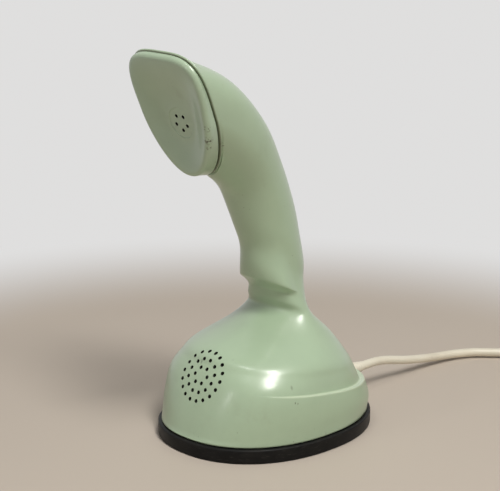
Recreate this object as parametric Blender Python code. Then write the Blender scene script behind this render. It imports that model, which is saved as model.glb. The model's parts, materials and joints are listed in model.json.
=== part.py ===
# A one-piece table telephone of the 1950s, standing on its dial.
# The earpiece is at the top, the mouthpiece low in front, and the dial with
# its hook-switch plunger is in the foot. Metres, +Z up, front towards -Y.
import math

import bmesh
import bpy
import numpy as np
from mathutils import Matrix, Vector

mm = 0.001

# Fits
GAP = 0.3 * mm              # between pieces that touch
RUN_GAP = 0.4 * mm          # round what turns or slides
OVERRUN = 1.0 * mm          # how far a cutter passes what it cuts
MERGE = 0.001 * mm

# Facets of round shapes
WIDE_SIDES = 36
ROUND_SIDES = 20
ROD_SIDES = 12
SMALL_SIDES = 10
SCREW_SIDES = 8
SADDLE_SIDES = 16
HUB_STEPS = 6
PATH_STEPS = 24

# Overall sizes
BASE_WIDTH = 112.0 * mm
BASE_LENGTH = 133.0 * mm
TOTAL_HEIGHT = 232.8 * mm

# Base ring and base plate
RING_HEIGHT = 8.5 * mm
RING_THICKNESS = 9.0 * mm
RING_REBATE = 5.0 * mm
RING_EDGE = 0.8 * mm
RING_SQUARENESS = 2.2
PLATE_DROP = 0.5 * mm
PLATE_THICKNESS = 2.0 * mm
DIAL_OPENING_RADIUS = 40.0 * mm

# Housing skin
HOUSING_WALL = 2.6 * mm
FOOT_SETBACK = 2.0 * mm
LEDGE_FLARE = 1.3 * mm
LEDGE_INSET = 1.4 * mm
LEDGE_END_ANGLE = math.radians(142.0)      # from the back, round either side
LEDGE_BLEND_ANGLE = math.radians(80.0)
LIP_PROUD = 7.0 * mm
LIP_ROUND_POWER = 1.5
BOSS_RADIUS = 3.6 * mm
BOSS_TOP = 22.0 * mm
BOSS_RIB = 2.0 * mm
BOSS_SIDE_INSET = 23.0 * mm
BOSS_END_INSET = 29.5 * mm
PILOT_RADIUS = 1.3 * mm

# The skin from foot to head, as shares of half the base length, of the total
# height and of half the base width: front reach, front rise, back reach, back
# rise and half width; then squareness in front and behind, and egg shape.
SKIN_ROW_SHARES = (
    (-0.892, 0.112, 0.950, 0.071, 0.957, 2.4, 2.3, 0.00),
    (-0.802, 0.172, 0.892, 0.112, 0.923, 2.6, 2.2, 0.00),
    (-0.723, 0.209, 0.802, 0.153, 0.884, 2.25, 2.2, 0.00),
    (-0.635, 0.238, 0.698, 0.192, 0.826, 1.85, 2.2, 0.00),
    (-0.250, 0.283, 0.547, 0.249, 0.600, 1.6, 2.2, 0.00),
    (-0.025, 0.316, 0.372, 0.296, 0.445, 1.8, 2.0, 0.00),
    (-0.040, 0.350, 0.338, 0.313, 0.388, 2.0, 2.0, 0.00),
    (-0.072, 0.391, 0.343, 0.333, 0.338, 2.0, 2.0, 0.00),
    (-0.126, 0.436, 0.362, 0.377, 0.304, 2.0, 2.0, 0.00),
    (-0.190, 0.481, 0.362, 0.427, 0.307, 2.0, 2.0, 0.00),
    (-0.272, 0.524, 0.305, 0.498, 0.321, 2.0, 2.0, 0.00),
    (-0.346, 0.571, 0.222, 0.593, 0.336, 2.0, 2.0, 0.00),
    (-0.429, 0.627, 0.038, 0.713, 0.370, 2.0, 2.1, 0.00),
    (-0.519, 0.656, -0.248, 0.829, 0.423, 2.0, 2.5, 0.10),
    (-0.601, 0.674, -0.669, 0.935, 0.463, 2.0, 2.9, 0.17),
)
LEDGE_ROW = 2
SHOULDER_ROW = 5
LIP_ROW = 8
LEDGE_FADE_ROWS = 2.5
LIP_FADE_ROWS = 3.0
LIP_UNDER_ROWS = 0.35
EDGE_ROWS = 0.05
SEAM_BACK_ROWS = 0.6
SKIN_SIDES = 36
# Loops of the skin: skirt, body, lip and grip, then the inside
OUTER_LEVELS = (4, 11, 6, 8)
INNER_LEVELS = (8, 7)
WALL_MARKS = 40
SLOPE_STEP = 0.02            # of a row or a radian, for the skin's normal

# Receiver cap, in the plane of its rim
RECEIVER_REACH = 69.8 * mm
RECEIVER_TILT = math.radians(18.8)
CAP_HALF_WIDTH = 27.4 * mm
CAP_HALF_HEIGHT = 37.6 * mm
CAP_RAISED = 2.4 * mm
CAP_DEPTH = 8.05 * mm
SEAM_LEAN = math.radians(6.9)            # back from the face's own plane
SEAM_HALF_WIDTH = 26.1 * mm
SEAM_HALF_HEIGHT = 39.2 * mm
CAP_RIM_RADIUS = 2.5 * mm
CAP_DISH_DEPTH = 4.4 * mm
CAP_WALL = 2.3 * mm
CAP_SPIGOT = 1.5 * mm
CAP_SPIGOT_INSET = 6.2 * mm
CAP_SPIGOT_WALL = 1.8 * mm
CAP_SQUARENESS = (2.03, 3.54)            # below, above
SEAM_SQUARENESS = (1.79, 3.54)
CAP_EGG = 0.18
CAP_SIDES = 32
DISH_SHARES = (1.0, 0.85, 0.6, 0.35, 0.12)
DISH_POWER = 1.5
RIM_PROUD = 0.8 * mm
EAR_DROP = 3.6 * mm
EAR_DISC_RADIUS = 9.3 * mm
EAR_HOLE_RADIUS = 1.1 * mm
EAR_HOLE_CIRCLE = 4.65 * mm
EAR_HOLE_COUNT = 5

# Receiver capsule and its clamp
CAN_RADIUS = 16.4 * mm
CAN_DEPTH = 8.6 * mm
CAN_WALL = 1.0 * mm
GASKET_THICKNESS = 2.0 * mm
GASKET_INNER = 13.5 * mm
DIAPHRAGM_THICKNESS = 0.4 * mm
MAGNET_RADIUS = 9.0 * mm
MAGNET_BORE = 2.5 * mm
MAGNET_DEPTH = 5.4 * mm
CLAMP_WIDTH = 8.0 * mm
CLAMP_THICKNESS = 1.2 * mm
CLAMP_POST_OFFSET = 21.0 * mm
CLAMP_POST_RADIUS = 2.8 * mm
CLAMP_END = 3.0 * mm
SMALL_SCREW_RADIUS = 1.1 * mm
SMALL_HEAD_RADIUS = 2.2 * mm
SMALL_HEAD_HEIGHT = 1.3 * mm
HEAD_CROWN_SHARE = 0.8
SMALL_SCREW_LENGTH = 5.0 * mm
LEAD_RADIUS = 1.1 * mm
LEAD_STEP = 7.0 * mm
LEAD_SLACK = 4.0 * mm
LEAD_ROWS = (13, 11, 9, 7, 6)

# Mouthpiece
MOUTH_ROW = 2.37
MOUTH_HOLE_RADIUS = 1.15 * mm
MOUTH_RING_PITCH = 5.0 * mm
MOUTH_RING_COUNT = 3
MOUTH_FIRST_RING_COUNT = 6
MOUTH_HOLE_SIDES = 6
MOUTH_SEAT = 7.2 * mm
MOUTH_GASKET_THICKNESS = 1.2 * mm
MOUTH_GASKET_INNER = 15.0 * mm
MOUTH_CAPSULE_RADIUS = 17.0 * mm
MOUTH_CAPSULE_DEPTH = 10.0 * mm
HOLDER_WALL = 1.6 * mm
HOLDER_FLOOR_BORE = 9.0 * mm
HOLDER_CUP_DEPTH = 8.0 * mm
HOLDER_LEG_WIDTH = 12.0 * mm
HOLDER_LEG_THICKNESS = 3.0 * mm
HOLDER_FOOT_LENGTH = 9.0 * mm
HOLDER_FOOT_THICKNESS = 1.6 * mm
CONTACT_WIDTH = 3.0 * mm
CONTACT_THICKNESS = 0.5 * mm
CONTACT_LENGTH = 13.0 * mm

# Dial, from the table upwards
NUMBER_RING_THICKNESS = 1.4 * mm
NUMBER_RING_OUTER = 39.5 * mm
NUMBER_RING_INNER = 17.0 * mm
WHEEL_CLEARANCE = 1.3 * mm
WHEEL_THICKNESS = 3.0 * mm
WHEEL_RADIUS = 37.0 * mm
WHEEL_BORE = 11.4 * mm
FINGER_HOLE_RADIUS = 6.2 * mm
FINGER_HOLE_CIRCLE = 28.5 * mm
FINGER_HOLE_COUNT = 10
FINGER_HOLE_STEP = math.radians(29.0)
FIRST_HOLE_ANGLE = math.radians(62.0)
STOP_ANGLE = math.radians(-50.0)
STOP_WIDTH = 4.0 * mm
STOP_THICKNESS = 1.0 * mm
STOP_REACH = 21.0 * mm
SLEEVE_OUTER = 11.0 * mm
SLEEVE_INNER = 9.8 * mm
NUT_THICKNESS = 1.2 * mm
NUT_OUTER = 14.5 * mm
NUT_FLATS = 12
FLANGE_RADIUS = 15.0 * mm
FLANGE_THICKNESS = 1.4 * mm
SHAFT_RADIUS = 6.5 * mm
SHAFT_BORE = 5.2 * mm
DIAL_PLATE_RADIUS = 42.5 * mm
DIAL_PLATE_THICKNESS = 2.0 * mm
DIAL_EAR_RADIUS = 4.5 * mm
DIAL_SCREW_CIRCLE = 44.3 * mm
DIAL_SCREW_ANGLES = (math.radians(0.0), math.radians(115.0), math.radians(180.0))
BRIDGE_BOTTOM = 22.0 * mm
BRIDGE_THICKNESS = 1.5 * mm
BRIDGE_RADIUS = 30.5 * mm
PILLAR_RADIUS = 2.5 * mm
PILLAR_TIP_RADIUS = 1.4 * mm
PILLAR_CIRCLE = 26.5 * mm
PILLAR_ANGLES = (math.radians(105.0), math.radians(215.0), math.radians(325.0))

# Return spring
COIL_SPRING_BOTTOM = 11.2 * mm
COIL_SPRING_WIDTH = 3.0 * mm
COIL_SPRING_THICKNESS = 0.45 * mm
COIL_SPRING_INNER = 7.4 * mm
COIL_SPRING_PITCH = 2.0 * mm
COIL_SPRING_TURNS = 4.5
COIL_SPRING_STEPS = 12

# Gear train
GEAR_MODULE = 1.0 * mm
TOOTH_ADDENDUM = 0.85 * mm
TOOTH_DEDENDUM = 1.25 * mm
TOOTH_ROOT_SHARE = 0.52
TOOTH_TIP_SHARE = 0.20
GEAR_BACKLASH = 0.35 * mm
GEAR_THICKNESS = 2.0 * mm
MAIN_GEAR_TEETH = 40
MAIN_GEAR_BOTTOM = 15.3 * mm
MAIN_GEAR_WINDOW = 4.2 * mm
MAIN_GEAR_WINDOW_CIRCLE = 13.0 * mm
MAIN_GEAR_WINDOWS = 5
PULSE_PINION_TEETH = 10
PULSE_GEAR_TEETH = 20
GOVERNOR_PINION_TEETH = 10
PULSE_ANGLE = math.radians(60.0)
GOVERNOR_DISTANCE = 27.0 * mm
ARBOR_RADIUS = 1.3 * mm
CAM_RADIUS = 4.4 * mm
CAM_FLAT = 3.0 * mm
CAM_BOTTOM = 12.2 * mm
CAM_THICKNESS = 2.2 * mm
CUP_OUTER = 8.2 * mm
CUP_INNER = 7.3 * mm
CUP_TOP = 14.8 * mm
CUP_FLOOR = 0.6 * mm
WEIGHT_REACH = 6.6 * mm
WEIGHT_RADIUS = 2.0 * mm
WEIGHT_HEIGHT = 2.4 * mm
WEIGHT_ARM = 1.2 * mm

# Pulse contacts
LEAF_THICKNESS = 0.4 * mm
LEAF_HEIGHT = 2.7 * mm
LEAF_LENGTH = 17.0 * mm
CONTACT_BLOCK_LENGTH = 5.0 * mm
CONTACT_BLOCK_DEPTH = 1.8 * mm

# Hook-switch plunger
BUTTON_RADIUS = 9.2 * mm
BUTTON_RECESS = 0.3 * mm
BUTTON_HEIGHT = 4.6 * mm
BUTTON_EDGE = 0.7 * mm
ROD_RADIUS = 4.8 * mm
ROD_TIP_RADIUS = 2.5 * mm
COLLAR_RADIUS = 7.0 * mm
COLLAR_HEIGHT = 1.4 * mm
PLUNGER_TRAVEL = 6.0 * mm
SPRING_LENGTH = 8.5 * mm
SPRING_MEAN_RADIUS = 4.4 * mm
SPRING_WIRE_RADIUS = 0.45 * mm
SPRING_TURNS = 4
SPRING_STEPS = 8

# Hook switch
BRACKET_WIDTH = 10.0 * mm
BRACKET_HALF_SPAN = 20.0 * mm
BRACKET_THICKNESS = 1.5 * mm
BRACKET_FOOT = 5.0 * mm
EAR_HEIGHT = 8.5 * mm
EAR_WIDTH = 6.0 * mm
LEVER_ARM = 14.0 * mm
LEVER_TAIL = 5.4 * mm
LEVER_NOSE = 4.0 * mm
LEVER_THICKNESS = 1.5 * mm
LEVER_WIDTH = 6.0 * mm
LEVER_HUB_RADIUS = 2.2 * mm
LEVER_SWING = math.radians(24.0)
PIN_RADIUS = 1.0 * mm
STACK_WIDTH = 6.0 * mm
STACK_LENGTH = 6.0 * mm
STACK_BASE_HEIGHT = 7.0 * mm
STACK_LEAF = 13.0 * mm

# Speech network
BOARD_END_INSET = 20.8 * mm
BOARD_HALF_WIDTH = 19.0 * mm
BOARD_BOTTOM = 11.0 * mm
BOARD_TOP = 33.0 * mm
BOARD_THICKNESS = 1.6 * mm
BOARD_BRACKET_HALF_WIDTH = 12.0 * mm
BOARD_BRACKET_THICKNESS = 1.2 * mm
BOARD_BRACKET_HEIGHT = 12.0 * mm
BOARD_BRACKET_FOOT = 4.4 * mm
TRANSFORMER_WIDTH = 15.0 * mm
TRANSFORMER_HEIGHT = 14.0 * mm
TRANSFORMER_DEPTH = 10.0 * mm
TRANSFORMER_X = -10.0 * mm
TRANSFORMER_BOTTOM = 16.0 * mm
CAPACITOR_RADIUS = 4.6 * mm
CAPACITOR_LENGTH = 17.0 * mm
CAPACITOR_X = 9.0 * mm
CAPACITOR_Z = 28.0 * mm
TERMINAL_WIDTH = 10.0 * mm
TERMINAL_HEIGHT = 9.0 * mm
TERMINAL_DEPTH = 6.0 * mm
TERMINAL_X = 12.0 * mm
TERMINAL_Z = 22.0 * mm

# Line cord: strain relief, clamp, free stretch, coil, tie and plug
CORD_RADIUS = 2.75 * mm
CORD_EXIT_Z = 16.5 * mm
RELIEF_LENGTH = 20.0 * mm
RELIEF_ROOT_RADIUS = 5.4 * mm
RELIEF_TIP_RADIUS = 3.5 * mm
RELIEF_FLANGE = 1.6 * mm
RELIEF_FLANGE_RADIUS = 6.8 * mm
CORD_HOLE_RADIUS = 4.8 * mm
CORD_TAIL_LENGTH = 7.4 * mm
SADDLE_WIDTH = 11.0 * mm
SADDLE_LENGTH = 5.0 * mm
SADDLE_SETBACK = 0.8 * mm
CORD_STEP = 12.0 * mm
# The free stretch, from the tip of the strain relief to the coil
CORD_ROUTE = (
    (0.0 * mm, 96.0 * mm, 16.8 * mm),
    (-0.5 * mm, 110.0 * mm, 16.8 * mm),
    (-2.0 * mm, 126.0 * mm, 16.0 * mm),
    (-4.0 * mm, 142.0 * mm, 14.2 * mm),
    (-4.5 * mm, 158.0 * mm, 11.6 * mm),
    (-2.0 * mm, 173.0 * mm, 8.6 * mm),
    (6.4 * mm, 187.0 * mm, 5.9 * mm),
    (19.0 * mm, 198.6 * mm, 4.3 * mm),
)
COIL_CENTRE_X = 87.5 * mm
COIL_CENTRE_Y = 203.5 * mm
COIL_INNER_RADIUS = 22.6 * mm
COIL_TURNS_IN_LAYER = 3.5
COIL_TURN_PITCH = 6.1 * mm
COIL_LAYER_PITCH = 6.0 * mm
COIL_CLIMB_DRAW_IN = 1.5 * mm
COIL_START_ANGLE = math.radians(132.0)
COIL_STEPS = 24
COIL_RISE_TURN = 0.2
COIL_CLIMB_TURN = 0.5
COIL_TAIL_STEPS = 8
COIL_NEAR_STEPS = 10
COIL_TAIL_RADIUS = 24.0 * mm
TIE_THICKNESS = 0.6 * mm
TIE_WIDTH = 6.0 * mm
TIE_ANGLE = math.radians(225.0)
TABLE_GAP = 0.1 * mm
PLUG_LENGTH = 34.0 * mm
PLUG_WIDTH = 24.0 * mm
PLUG_HEIGHT = 16.0 * mm
PLUG_CORNER = 4.0 * mm
PLUG_NECK_LENGTH = 8.0 * mm
# Width of the neck and how far along it, as shares, then the tip's width
PLUG_NECK_SHARES = ((0.35, 0.0), (0.45, 0.3), (0.75, 0.75), (0.97, 1.0))
PLUG_TIP_SHARE = 0.96
PLUG_PIN_RADIUS = 2.0 * mm
PLUG_PIN_LENGTH = 13.0 * mm
PLUG_PIN_SPACING = 12.0 * mm
PLUG_PIN_COUNT = 2

# Levels that follow from the sizes above
BOARD_Y = BASE_LENGTH / 2 - BOARD_END_INSET
PLATE_TOP = RING_HEIGHT - PLATE_DROP
PLATE_BOTTOM = PLATE_TOP - PLATE_THICKNESS
HOUSING_FOOT = RING_HEIGHT + GAP
DIAL_PLATE_BOTTOM = PLATE_TOP + GAP
DIAL_PLATE_TOP = DIAL_PLATE_BOTTOM + DIAL_PLATE_THICKNESS
NUMBER_RING_TOP = DIAL_PLATE_BOTTOM - GAP
NUMBER_RING_BOTTOM = NUMBER_RING_TOP - NUMBER_RING_THICKNESS
WHEEL_TOP = NUMBER_RING_BOTTOM - WHEEL_CLEARANCE
WHEEL_BOTTOM = WHEEL_TOP - WHEEL_THICKNESS
FLANGE_BOTTOM = WHEEL_TOP + GAP
FLANGE_TOP = FLANGE_BOTTOM + FLANGE_THICKNESS
NUT_TOP = WHEEL_BOTTOM - GAP
NUT_BOTTOM = NUT_TOP - NUT_THICKNESS
SHAFT_TOP = BRIDGE_BOTTOM - GAP
BRIDGE_TOP = BRIDGE_BOTTOM + BRIDGE_THICKNESS
BUTTON_TOP = BUTTON_RECESS + BUTTON_HEIGHT
COLLAR_BOTTOM = BRIDGE_TOP + GAP + PLUNGER_TRAVEL
COLLAR_TOP = COLLAR_BOTTOM + COLLAR_HEIGHT
SPRING_BOTTOM = COLLAR_TOP + GAP
SPRING_TOP = SPRING_BOTTOM + SPRING_LENGTH
BRACKET_BOTTOM = SPRING_TOP + GAP
BRACKET_TOP = BRACKET_BOTTOM + BRACKET_THICKNESS
LEVER_PIVOT_Z = BRACKET_TOP + EAR_HEIGHT - EAR_WIDTH / 2
LEVER_HALF_SWING = LEVER_SWING / 2
ROD_TIP_Z = (LEVER_PIVOT_Z + LEVER_ARM * math.tan(LEVER_HALF_SWING)
             - (LEVER_THICKNESS / 2 + GAP) / math.cos(LEVER_HALF_SWING)
             - ROD_TIP_RADIUS * math.tan(LEVER_HALF_SWING))
PITCH_PER_TOOTH = GEAR_MODULE / 2
PULSE_DISTANCE = (MAIN_GEAR_TEETH + PULSE_PINION_TEETH) * PITCH_PER_TOOTH + GEAR_BACKLASH
GOVERNOR_MESH = (PULSE_GEAR_TEETH + GOVERNOR_PINION_TEETH) * PITCH_PER_TOOTH + GEAR_BACKLASH
MAIN_GEAR_TOP = MAIN_GEAR_BOTTOM + GEAR_THICKNESS
PULSE_GEAR_BOTTOM = MAIN_GEAR_TOP + 2 * GEAR_BACKLASH
PULSE_GEAR_TOP = PULSE_GEAR_BOTTOM + GEAR_THICKNESS / 2

UP = Vector((0, 0, 1))


def start_clean():
    for old in list(bpy.data.objects):
        bpy.data.objects.remove(old, do_unlink=True)


def finish(name, colour, roughness, metallic=0.0):
    # One Principled material for one kind of surface.
    material = bpy.data.materials.new(name)
    material.use_nodes = True
    shader = material.node_tree.nodes["Principled BSDF"]
    shader.inputs["Base Color"].default_value = (*colour, 1.0)
    shader.inputs["Roughness"].default_value = roughness
    shader.inputs["Metallic"].default_value = metallic
    return material


def place(obj, material, parent, spot=(0, 0, 0), turn=None):
    bpy.context.scene.collection.objects.link(obj)
    obj.data.materials.append(material)
    obj.parent = parent
    obj.matrix_basis = Matrix.Translation(spot) @ (turn or Matrix.Identity(4))
    return obj


def mesh_object(name, bm, sharp=35.0):
    bmesh.ops.recalc_face_normals(bm, faces=bm.faces)
    mesh = bpy.data.meshes.new(name)
    bm.to_mesh(mesh)
    bm.free()
    mesh.shade_smooth()
    mesh.set_sharp_from_angle(angle=math.radians(sharp))
    return bpy.data.objects.new(name, mesh)


def circle(radius, sides, centre=(0, 0), start=0.0):
    steps = (start + math.tau * i / sides for i in range(sides))
    return [(centre[0] + radius * math.cos(a), centre[1] + radius * math.sin(a)) for a in steps]


def superellipse(half_width, half_length, squareness, sides):
    points = []
    for i in range(sides):
        c, s = math.cos(math.tau * i / sides), math.sin(math.tau * i / sides)
        points.append((half_width * math.copysign(abs(c) ** (2 / squareness), c),
                       half_length * math.copysign(abs(s) ** (2 / squareness), s)))
    return points


def rounded_rectangle(width, height, corner, steps=3):
    points = []
    for i, (sx, sy) in enumerate(((1, 1), (-1, 1), (-1, -1), (1, -1))):
        for j in range(steps + 1):
            angle = math.pi / 2 * (i + j / steps)
            points.append((sx * (width / 2 - corner) + corner * math.cos(angle),
                           sy * (height / 2 - corner) + corner * math.sin(angle)))
    return points


def join_loops(bm, loops, closed=False, caps=True):
    # Faces between loops of equal count, with a cap at each end.
    rings = [[bm.verts.new(p) for p in loop] for loop in loops]
    count = len(rings[0])
    pairs = list(zip(rings, rings[1:]))
    if closed:
        pairs.append((rings[-1], rings[0]))
    for low, high in pairs:
        for i in range(count):
            bm.faces.new((low[i - 1], low[i], high[i], high[i - 1]))
    if caps and not closed:
        bm.faces.new(rings[0])
        bm.faces.new(rings[-1])


def loft(name, loops, closed=False):
    bm = bmesh.new()
    join_loops(bm, loops, closed)
    return mesh_object(name, bm)


def add_turned(bm, profile, sides, spot=(0, 0)):
    # A (radius, height) outline spun about an upright axis through the spot.
    verts = [bm.verts.new((spot[0] + r, spot[1], z)) for r, z in profile]
    edges = []
    for i, (r, z) in enumerate(profile):
        if r or profile[i - 1][0]:
            edges.append(bm.edges.new((verts[i - 1], verts[i])))
    bmesh.ops.spin(bm, geom=verts + edges, cent=(*spot, 0), axis=UP,
                   angle=math.tau, steps=sides, use_merge=True)
    bmesh.ops.remove_doubles(bm, verts=bm.verts, dist=MERGE)


def turned(name, profile, sides=ROUND_SIDES):
    bm = bmesh.new()
    add_turned(bm, profile, sides)
    return mesh_object(name, bm)


def add_plate(bm, outline, bottom, top, holes=()):
    # A flat outline with holes, filled and drawn up.
    edges = []
    made = []
    for loop in (outline, *holes):
        verts = [bm.verts.new((x, y, bottom)) for x, y in loop]
        edges += [bm.edges.new((verts[i - 1], verts[i])) for i in range(len(verts))]
        made += verts
    faces = [f for f in bmesh.ops.triangle_fill(bm, use_beauty=True, edges=edges)["geom"]
             if isinstance(f, bmesh.types.BMFace)]
    raised = bmesh.ops.extrude_face_region(bm, geom=faces)["geom"]
    tops = [v for v in raised if isinstance(v, bmesh.types.BMVert)]
    bmesh.ops.translate(bm, vec=(0, 0, top - bottom), verts=tops)


def plate(name, outline, bottom, top, holes=()):
    bm = bmesh.new()
    add_plate(bm, outline, bottom, top, holes)
    return mesh_object(name, bm)


def add_box(bm, low, high):
    size = [b - a for a, b in zip(low, high)]
    centre = [(a + b) / 2 for a, b in zip(low, high)]
    matrix = Matrix.Translation(centre) @ Matrix.Diagonal((*size, 1.0))
    bmesh.ops.create_cube(bm, size=1.0, matrix=matrix)


def add_rod(bm, radius, bottom, top, spot=(0, 0), sides=ROD_SIDES, tip=None):
    matrix = Matrix.Translation((spot[0], spot[1], (bottom + top) / 2))
    bmesh.ops.create_cone(bm, cap_ends=True, segments=sides, radius1=radius,
                          radius2=radius if tip is None else tip, depth=top - bottom, matrix=matrix)


def box(name, low, high):
    bm = bmesh.new()
    add_box(bm, low, high)
    return mesh_object(name, bm)


def tube(name, points, radius, resolution=2):
    curve = bpy.data.curves.new(name, "CURVE")
    curve.dimensions = "3D"
    curve.bevel_depth = radius
    curve.bevel_resolution = resolution
    curve.use_fill_caps = True
    spline = curve.splines.new("POLY")
    spline.points.add(len(points) - 1)
    for point, spot in zip(spline.points, points):
        point.co = (*spot, 1.0)
    return bpy.data.objects.new(name, curve)


def apply_tool(obj, tool, operation, material, parent, spot=(0, 0, 0), turn=None):
    # A hidden shape that a Boolean adds to a piece or takes from it.
    place(tool, material, parent, spot, turn)
    tool.hide_render = True
    tool.display_type = "WIRE"
    change = obj.modifiers.new(tool.name, "BOOLEAN")
    change.operation = operation
    change.solver = "EXACT"
    change.object = tool


def smooth_step(x):
    x = min(max(x, 0.0), 1.0)
    return x * x * (3 - 2 * x)


def smooth_path(points, step):
    # Points at an even step along a smooth curve through the route.
    given = np.array([tuple(p) for p in points])
    ends = np.vstack([2 * given[0] - given[1], given, 2 * given[-1] - given[-2]])
    fine = []
    for i in range(1, len(ends) - 2):
        a, b, c, d = ends[i - 1:i + 3]
        for t in np.linspace(0, 1, PATH_STEPS, endpoint=False):
            fine.append(((2 * b) + (c - a) * t + (2 * a - 5 * b + 4 * c - d) * t ** 2
                         + (3 * b - a - 3 * c + d) * t ** 3) / 2)
    fine.append(ends[-2])
    fine = np.array(fine)
    along = np.concatenate([[0], np.cumsum(np.linalg.norm(np.diff(fine, axis=0), axis=1))])
    count = max(2, round(along[-1] / step) + 1)
    marks = np.linspace(0, along[-1], count)
    return [Vector([np.interp(m, along, fine[:, k]) for k in range(3)]) for m in marks]


# Housing skin

def seam_centre():
    # Where the cap's seam meets the middle of the head.
    half = SEAM_HALF_HEIGHT + RIM_PROUD
    top = Vector((0, -RECEIVER_REACH + CAP_DEPTH * math.cos(RECEIVER_TILT), TOTAL_HEIGHT))
    return top - Vector((0, 0, half * math.cos(RECEIVER_TILT + SEAM_LEAN)))


def face_axes():
    # Across the face, up the face, and out of it.
    up = Vector((0, -math.sin(RECEIVER_TILT), math.cos(RECEIVER_TILT)))
    out = Vector((0, -math.cos(RECEIVER_TILT), -math.sin(RECEIVER_TILT)))
    return Vector((1, 0, 0)), up, out


def skin_rows():
    half_length = BASE_LENGTH / 2
    half_width = BASE_WIDTH / 2
    foot = (-half_length + FOOT_SETBACK, HOUSING_FOOT, half_length - FOOT_SETBACK, HOUSING_FOOT,
            half_width - FOOT_SETBACK, RING_SQUARENESS, RING_SQUARENESS, 0)
    rows = [foot]
    for front, front_rise, back, back_rise, width, *shape in SKIN_ROW_SHARES:
        rows.append((front * half_length, front_rise * TOTAL_HEIGHT, back * half_length,
                     back_rise * TOTAL_HEIGHT, width * half_width, *shape))
    lean = RECEIVER_TILT + SEAM_LEAN
    reach = Vector((0, -math.sin(lean), math.cos(lean))) * (SEAM_HALF_HEIGHT + RIM_PROUD)
    low, high = seam_centre() - reach, seam_centre() + reach
    rows.append((low.y, low.z, high.y, high.z, SEAM_HALF_WIDTH + RIM_PROUD, *SEAM_SQUARENESS, CAP_EGG))
    return np.array(rows)


ROWS = skin_rows()
LAST_ROW = len(ROWS) - 1


def row_at(t):
    i = min(int(t), LAST_ROW - 1)
    u = t - i
    b, c = ROWS[i], ROWS[i + 1]
    a = ROWS[i - 1] if i else 2 * b - c
    d = ROWS[i + 2] if i + 2 <= LAST_ROW else 2 * c - b
    return (2 * b + (c - a) * u + (2 * a - 5 * b + 4 * c - d) * u ** 2
            + (3 * b - a - 3 * c + d) * u ** 3) / 2


def section_point(row, angle):
    # Angle 0 is behind, half a turn is in front.
    front_y, front_z, back_y, back_z, width, front_square, back_square, egg = row
    c, s = math.cos(angle), math.sin(angle)
    square = back_square if c >= 0 else front_square
    along = math.copysign(abs(c) ** (2 / square), c)
    across = width * (1 + egg * along) * math.copysign(abs(s) ** (2 / square), s)
    mid = Vector((0, (front_y + back_y) / 2, (front_z + back_z) / 2))
    half = Vector((0, (back_y - front_y) / 2, (back_z - front_z) / 2))
    return mid + half * along + Vector((across, 0, 0))


def lip_swell(t, angle):
    # The grip's lower end stands proud in front and fades round its sides.
    if t <= LIP_ROW:
        return 0.0
    fade = smooth_step(1 - (t - LIP_ROW - EDGE_ROWS) / LIP_FADE_ROWS)
    return LIP_PROUD * fade * ((1 - math.cos(angle)) / 2) ** LIP_ROUND_POWER


def ledge_swell(t, angle):
    # The skirt flares and the body above it draws in; in front they blend.
    if t < LEDGE_ROW:
        swell = LEDGE_FLARE * smooth_step(t / LEDGE_ROW)
    else:
        swell = -LEDGE_INSET * smooth_step(1 - (t - LEDGE_ROW) / LEDGE_FADE_ROWS)
    from_back = abs((angle + math.pi) % math.tau - math.pi)
    return swell * smooth_step((LEDGE_END_ANGLE - from_back) / LEDGE_BLEND_ANGLE)


def skin_loop(t):
    loop = []
    row = row_at(t)
    middle = (section_point(row, 0.0) + section_point(row, math.pi)) / 2
    for i in range(SKIN_SIDES):
        angle = math.tau * i / SKIN_SIDES
        point = section_point(row, angle)
        point += (point - middle).normalized() * lip_swell(t, angle)
        loop.append(point + skin_normal(t, angle) * ledge_swell(t, angle))
    return loop


def skin_normal(t, angle):
    # Outward normal of the smooth skin, from its slopes.
    low, high = max(t - SLOPE_STEP, 0), min(t + SLOPE_STEP, LAST_ROW)
    rise = section_point(row_at(high), angle) - section_point(row_at(low), angle)
    ahead = section_point(row_at(t), angle + SLOPE_STEP) - section_point(row_at(t), angle - SLOPE_STEP)
    return rise.cross(ahead).normalized()


def inner_loop(t):
    loop = []
    for i in range(SKIN_SIDES):
        angle = math.tau * i / SKIN_SIDES
        point = section_point(row_at(t), angle) - skin_normal(t, angle) * HOUSING_WALL
        if t == 0:
            point.z = HOUSING_FOOT
        loop.append(point)
    return loop


def seam_inner_loop():
    row = row_at(LAST_ROW).copy()
    along = np.array((row[2] - row[0], row[3] - row[1]))
    along *= HOUSING_WALL / np.linalg.norm(along)
    row[0:2] += along
    row[2:4] -= along
    row[4] -= HOUSING_WALL
    return [section_point(row, math.tau * i / SKIN_SIDES) for i in range(SKIN_SIDES)]


def outer_levels():
    skirt = list(np.linspace(0, LEDGE_ROW - EDGE_ROWS, OUTER_LEVELS[0]))
    body = list(np.linspace(LEDGE_ROW + EDGE_ROWS, LIP_ROW - LIP_UNDER_ROWS, OUTER_LEVELS[1]))
    lip = list(np.linspace(LIP_ROW + EDGE_ROWS * 2, LIP_ROW + LIP_FADE_ROWS, OUTER_LEVELS[2]))
    grip = list(np.linspace(LIP_ROW + LIP_FADE_ROWS, LAST_ROW, OUTER_LEVELS[3]))[1:]
    return skirt + body + lip + grip


def inner_levels():
    foot = list(np.linspace(0, SHOULDER_ROW, INNER_LEVELS[0]))
    return foot + list(np.linspace(SHOULDER_ROW + 1, LAST_ROW - SEAM_BACK_ROWS, INNER_LEVELS[1]))


def mouth_frame():
    # Matrix at the mouthpiece: local Z points out of the housing.
    point = section_point(row_at(MOUTH_ROW), math.pi)
    out = skin_normal(MOUTH_ROW, math.pi)
    across = Vector((1, 0, 0))
    matrix = Matrix((across, out.cross(across), out)).transposed().to_4x4()
    matrix.translation = point
    return matrix


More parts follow.
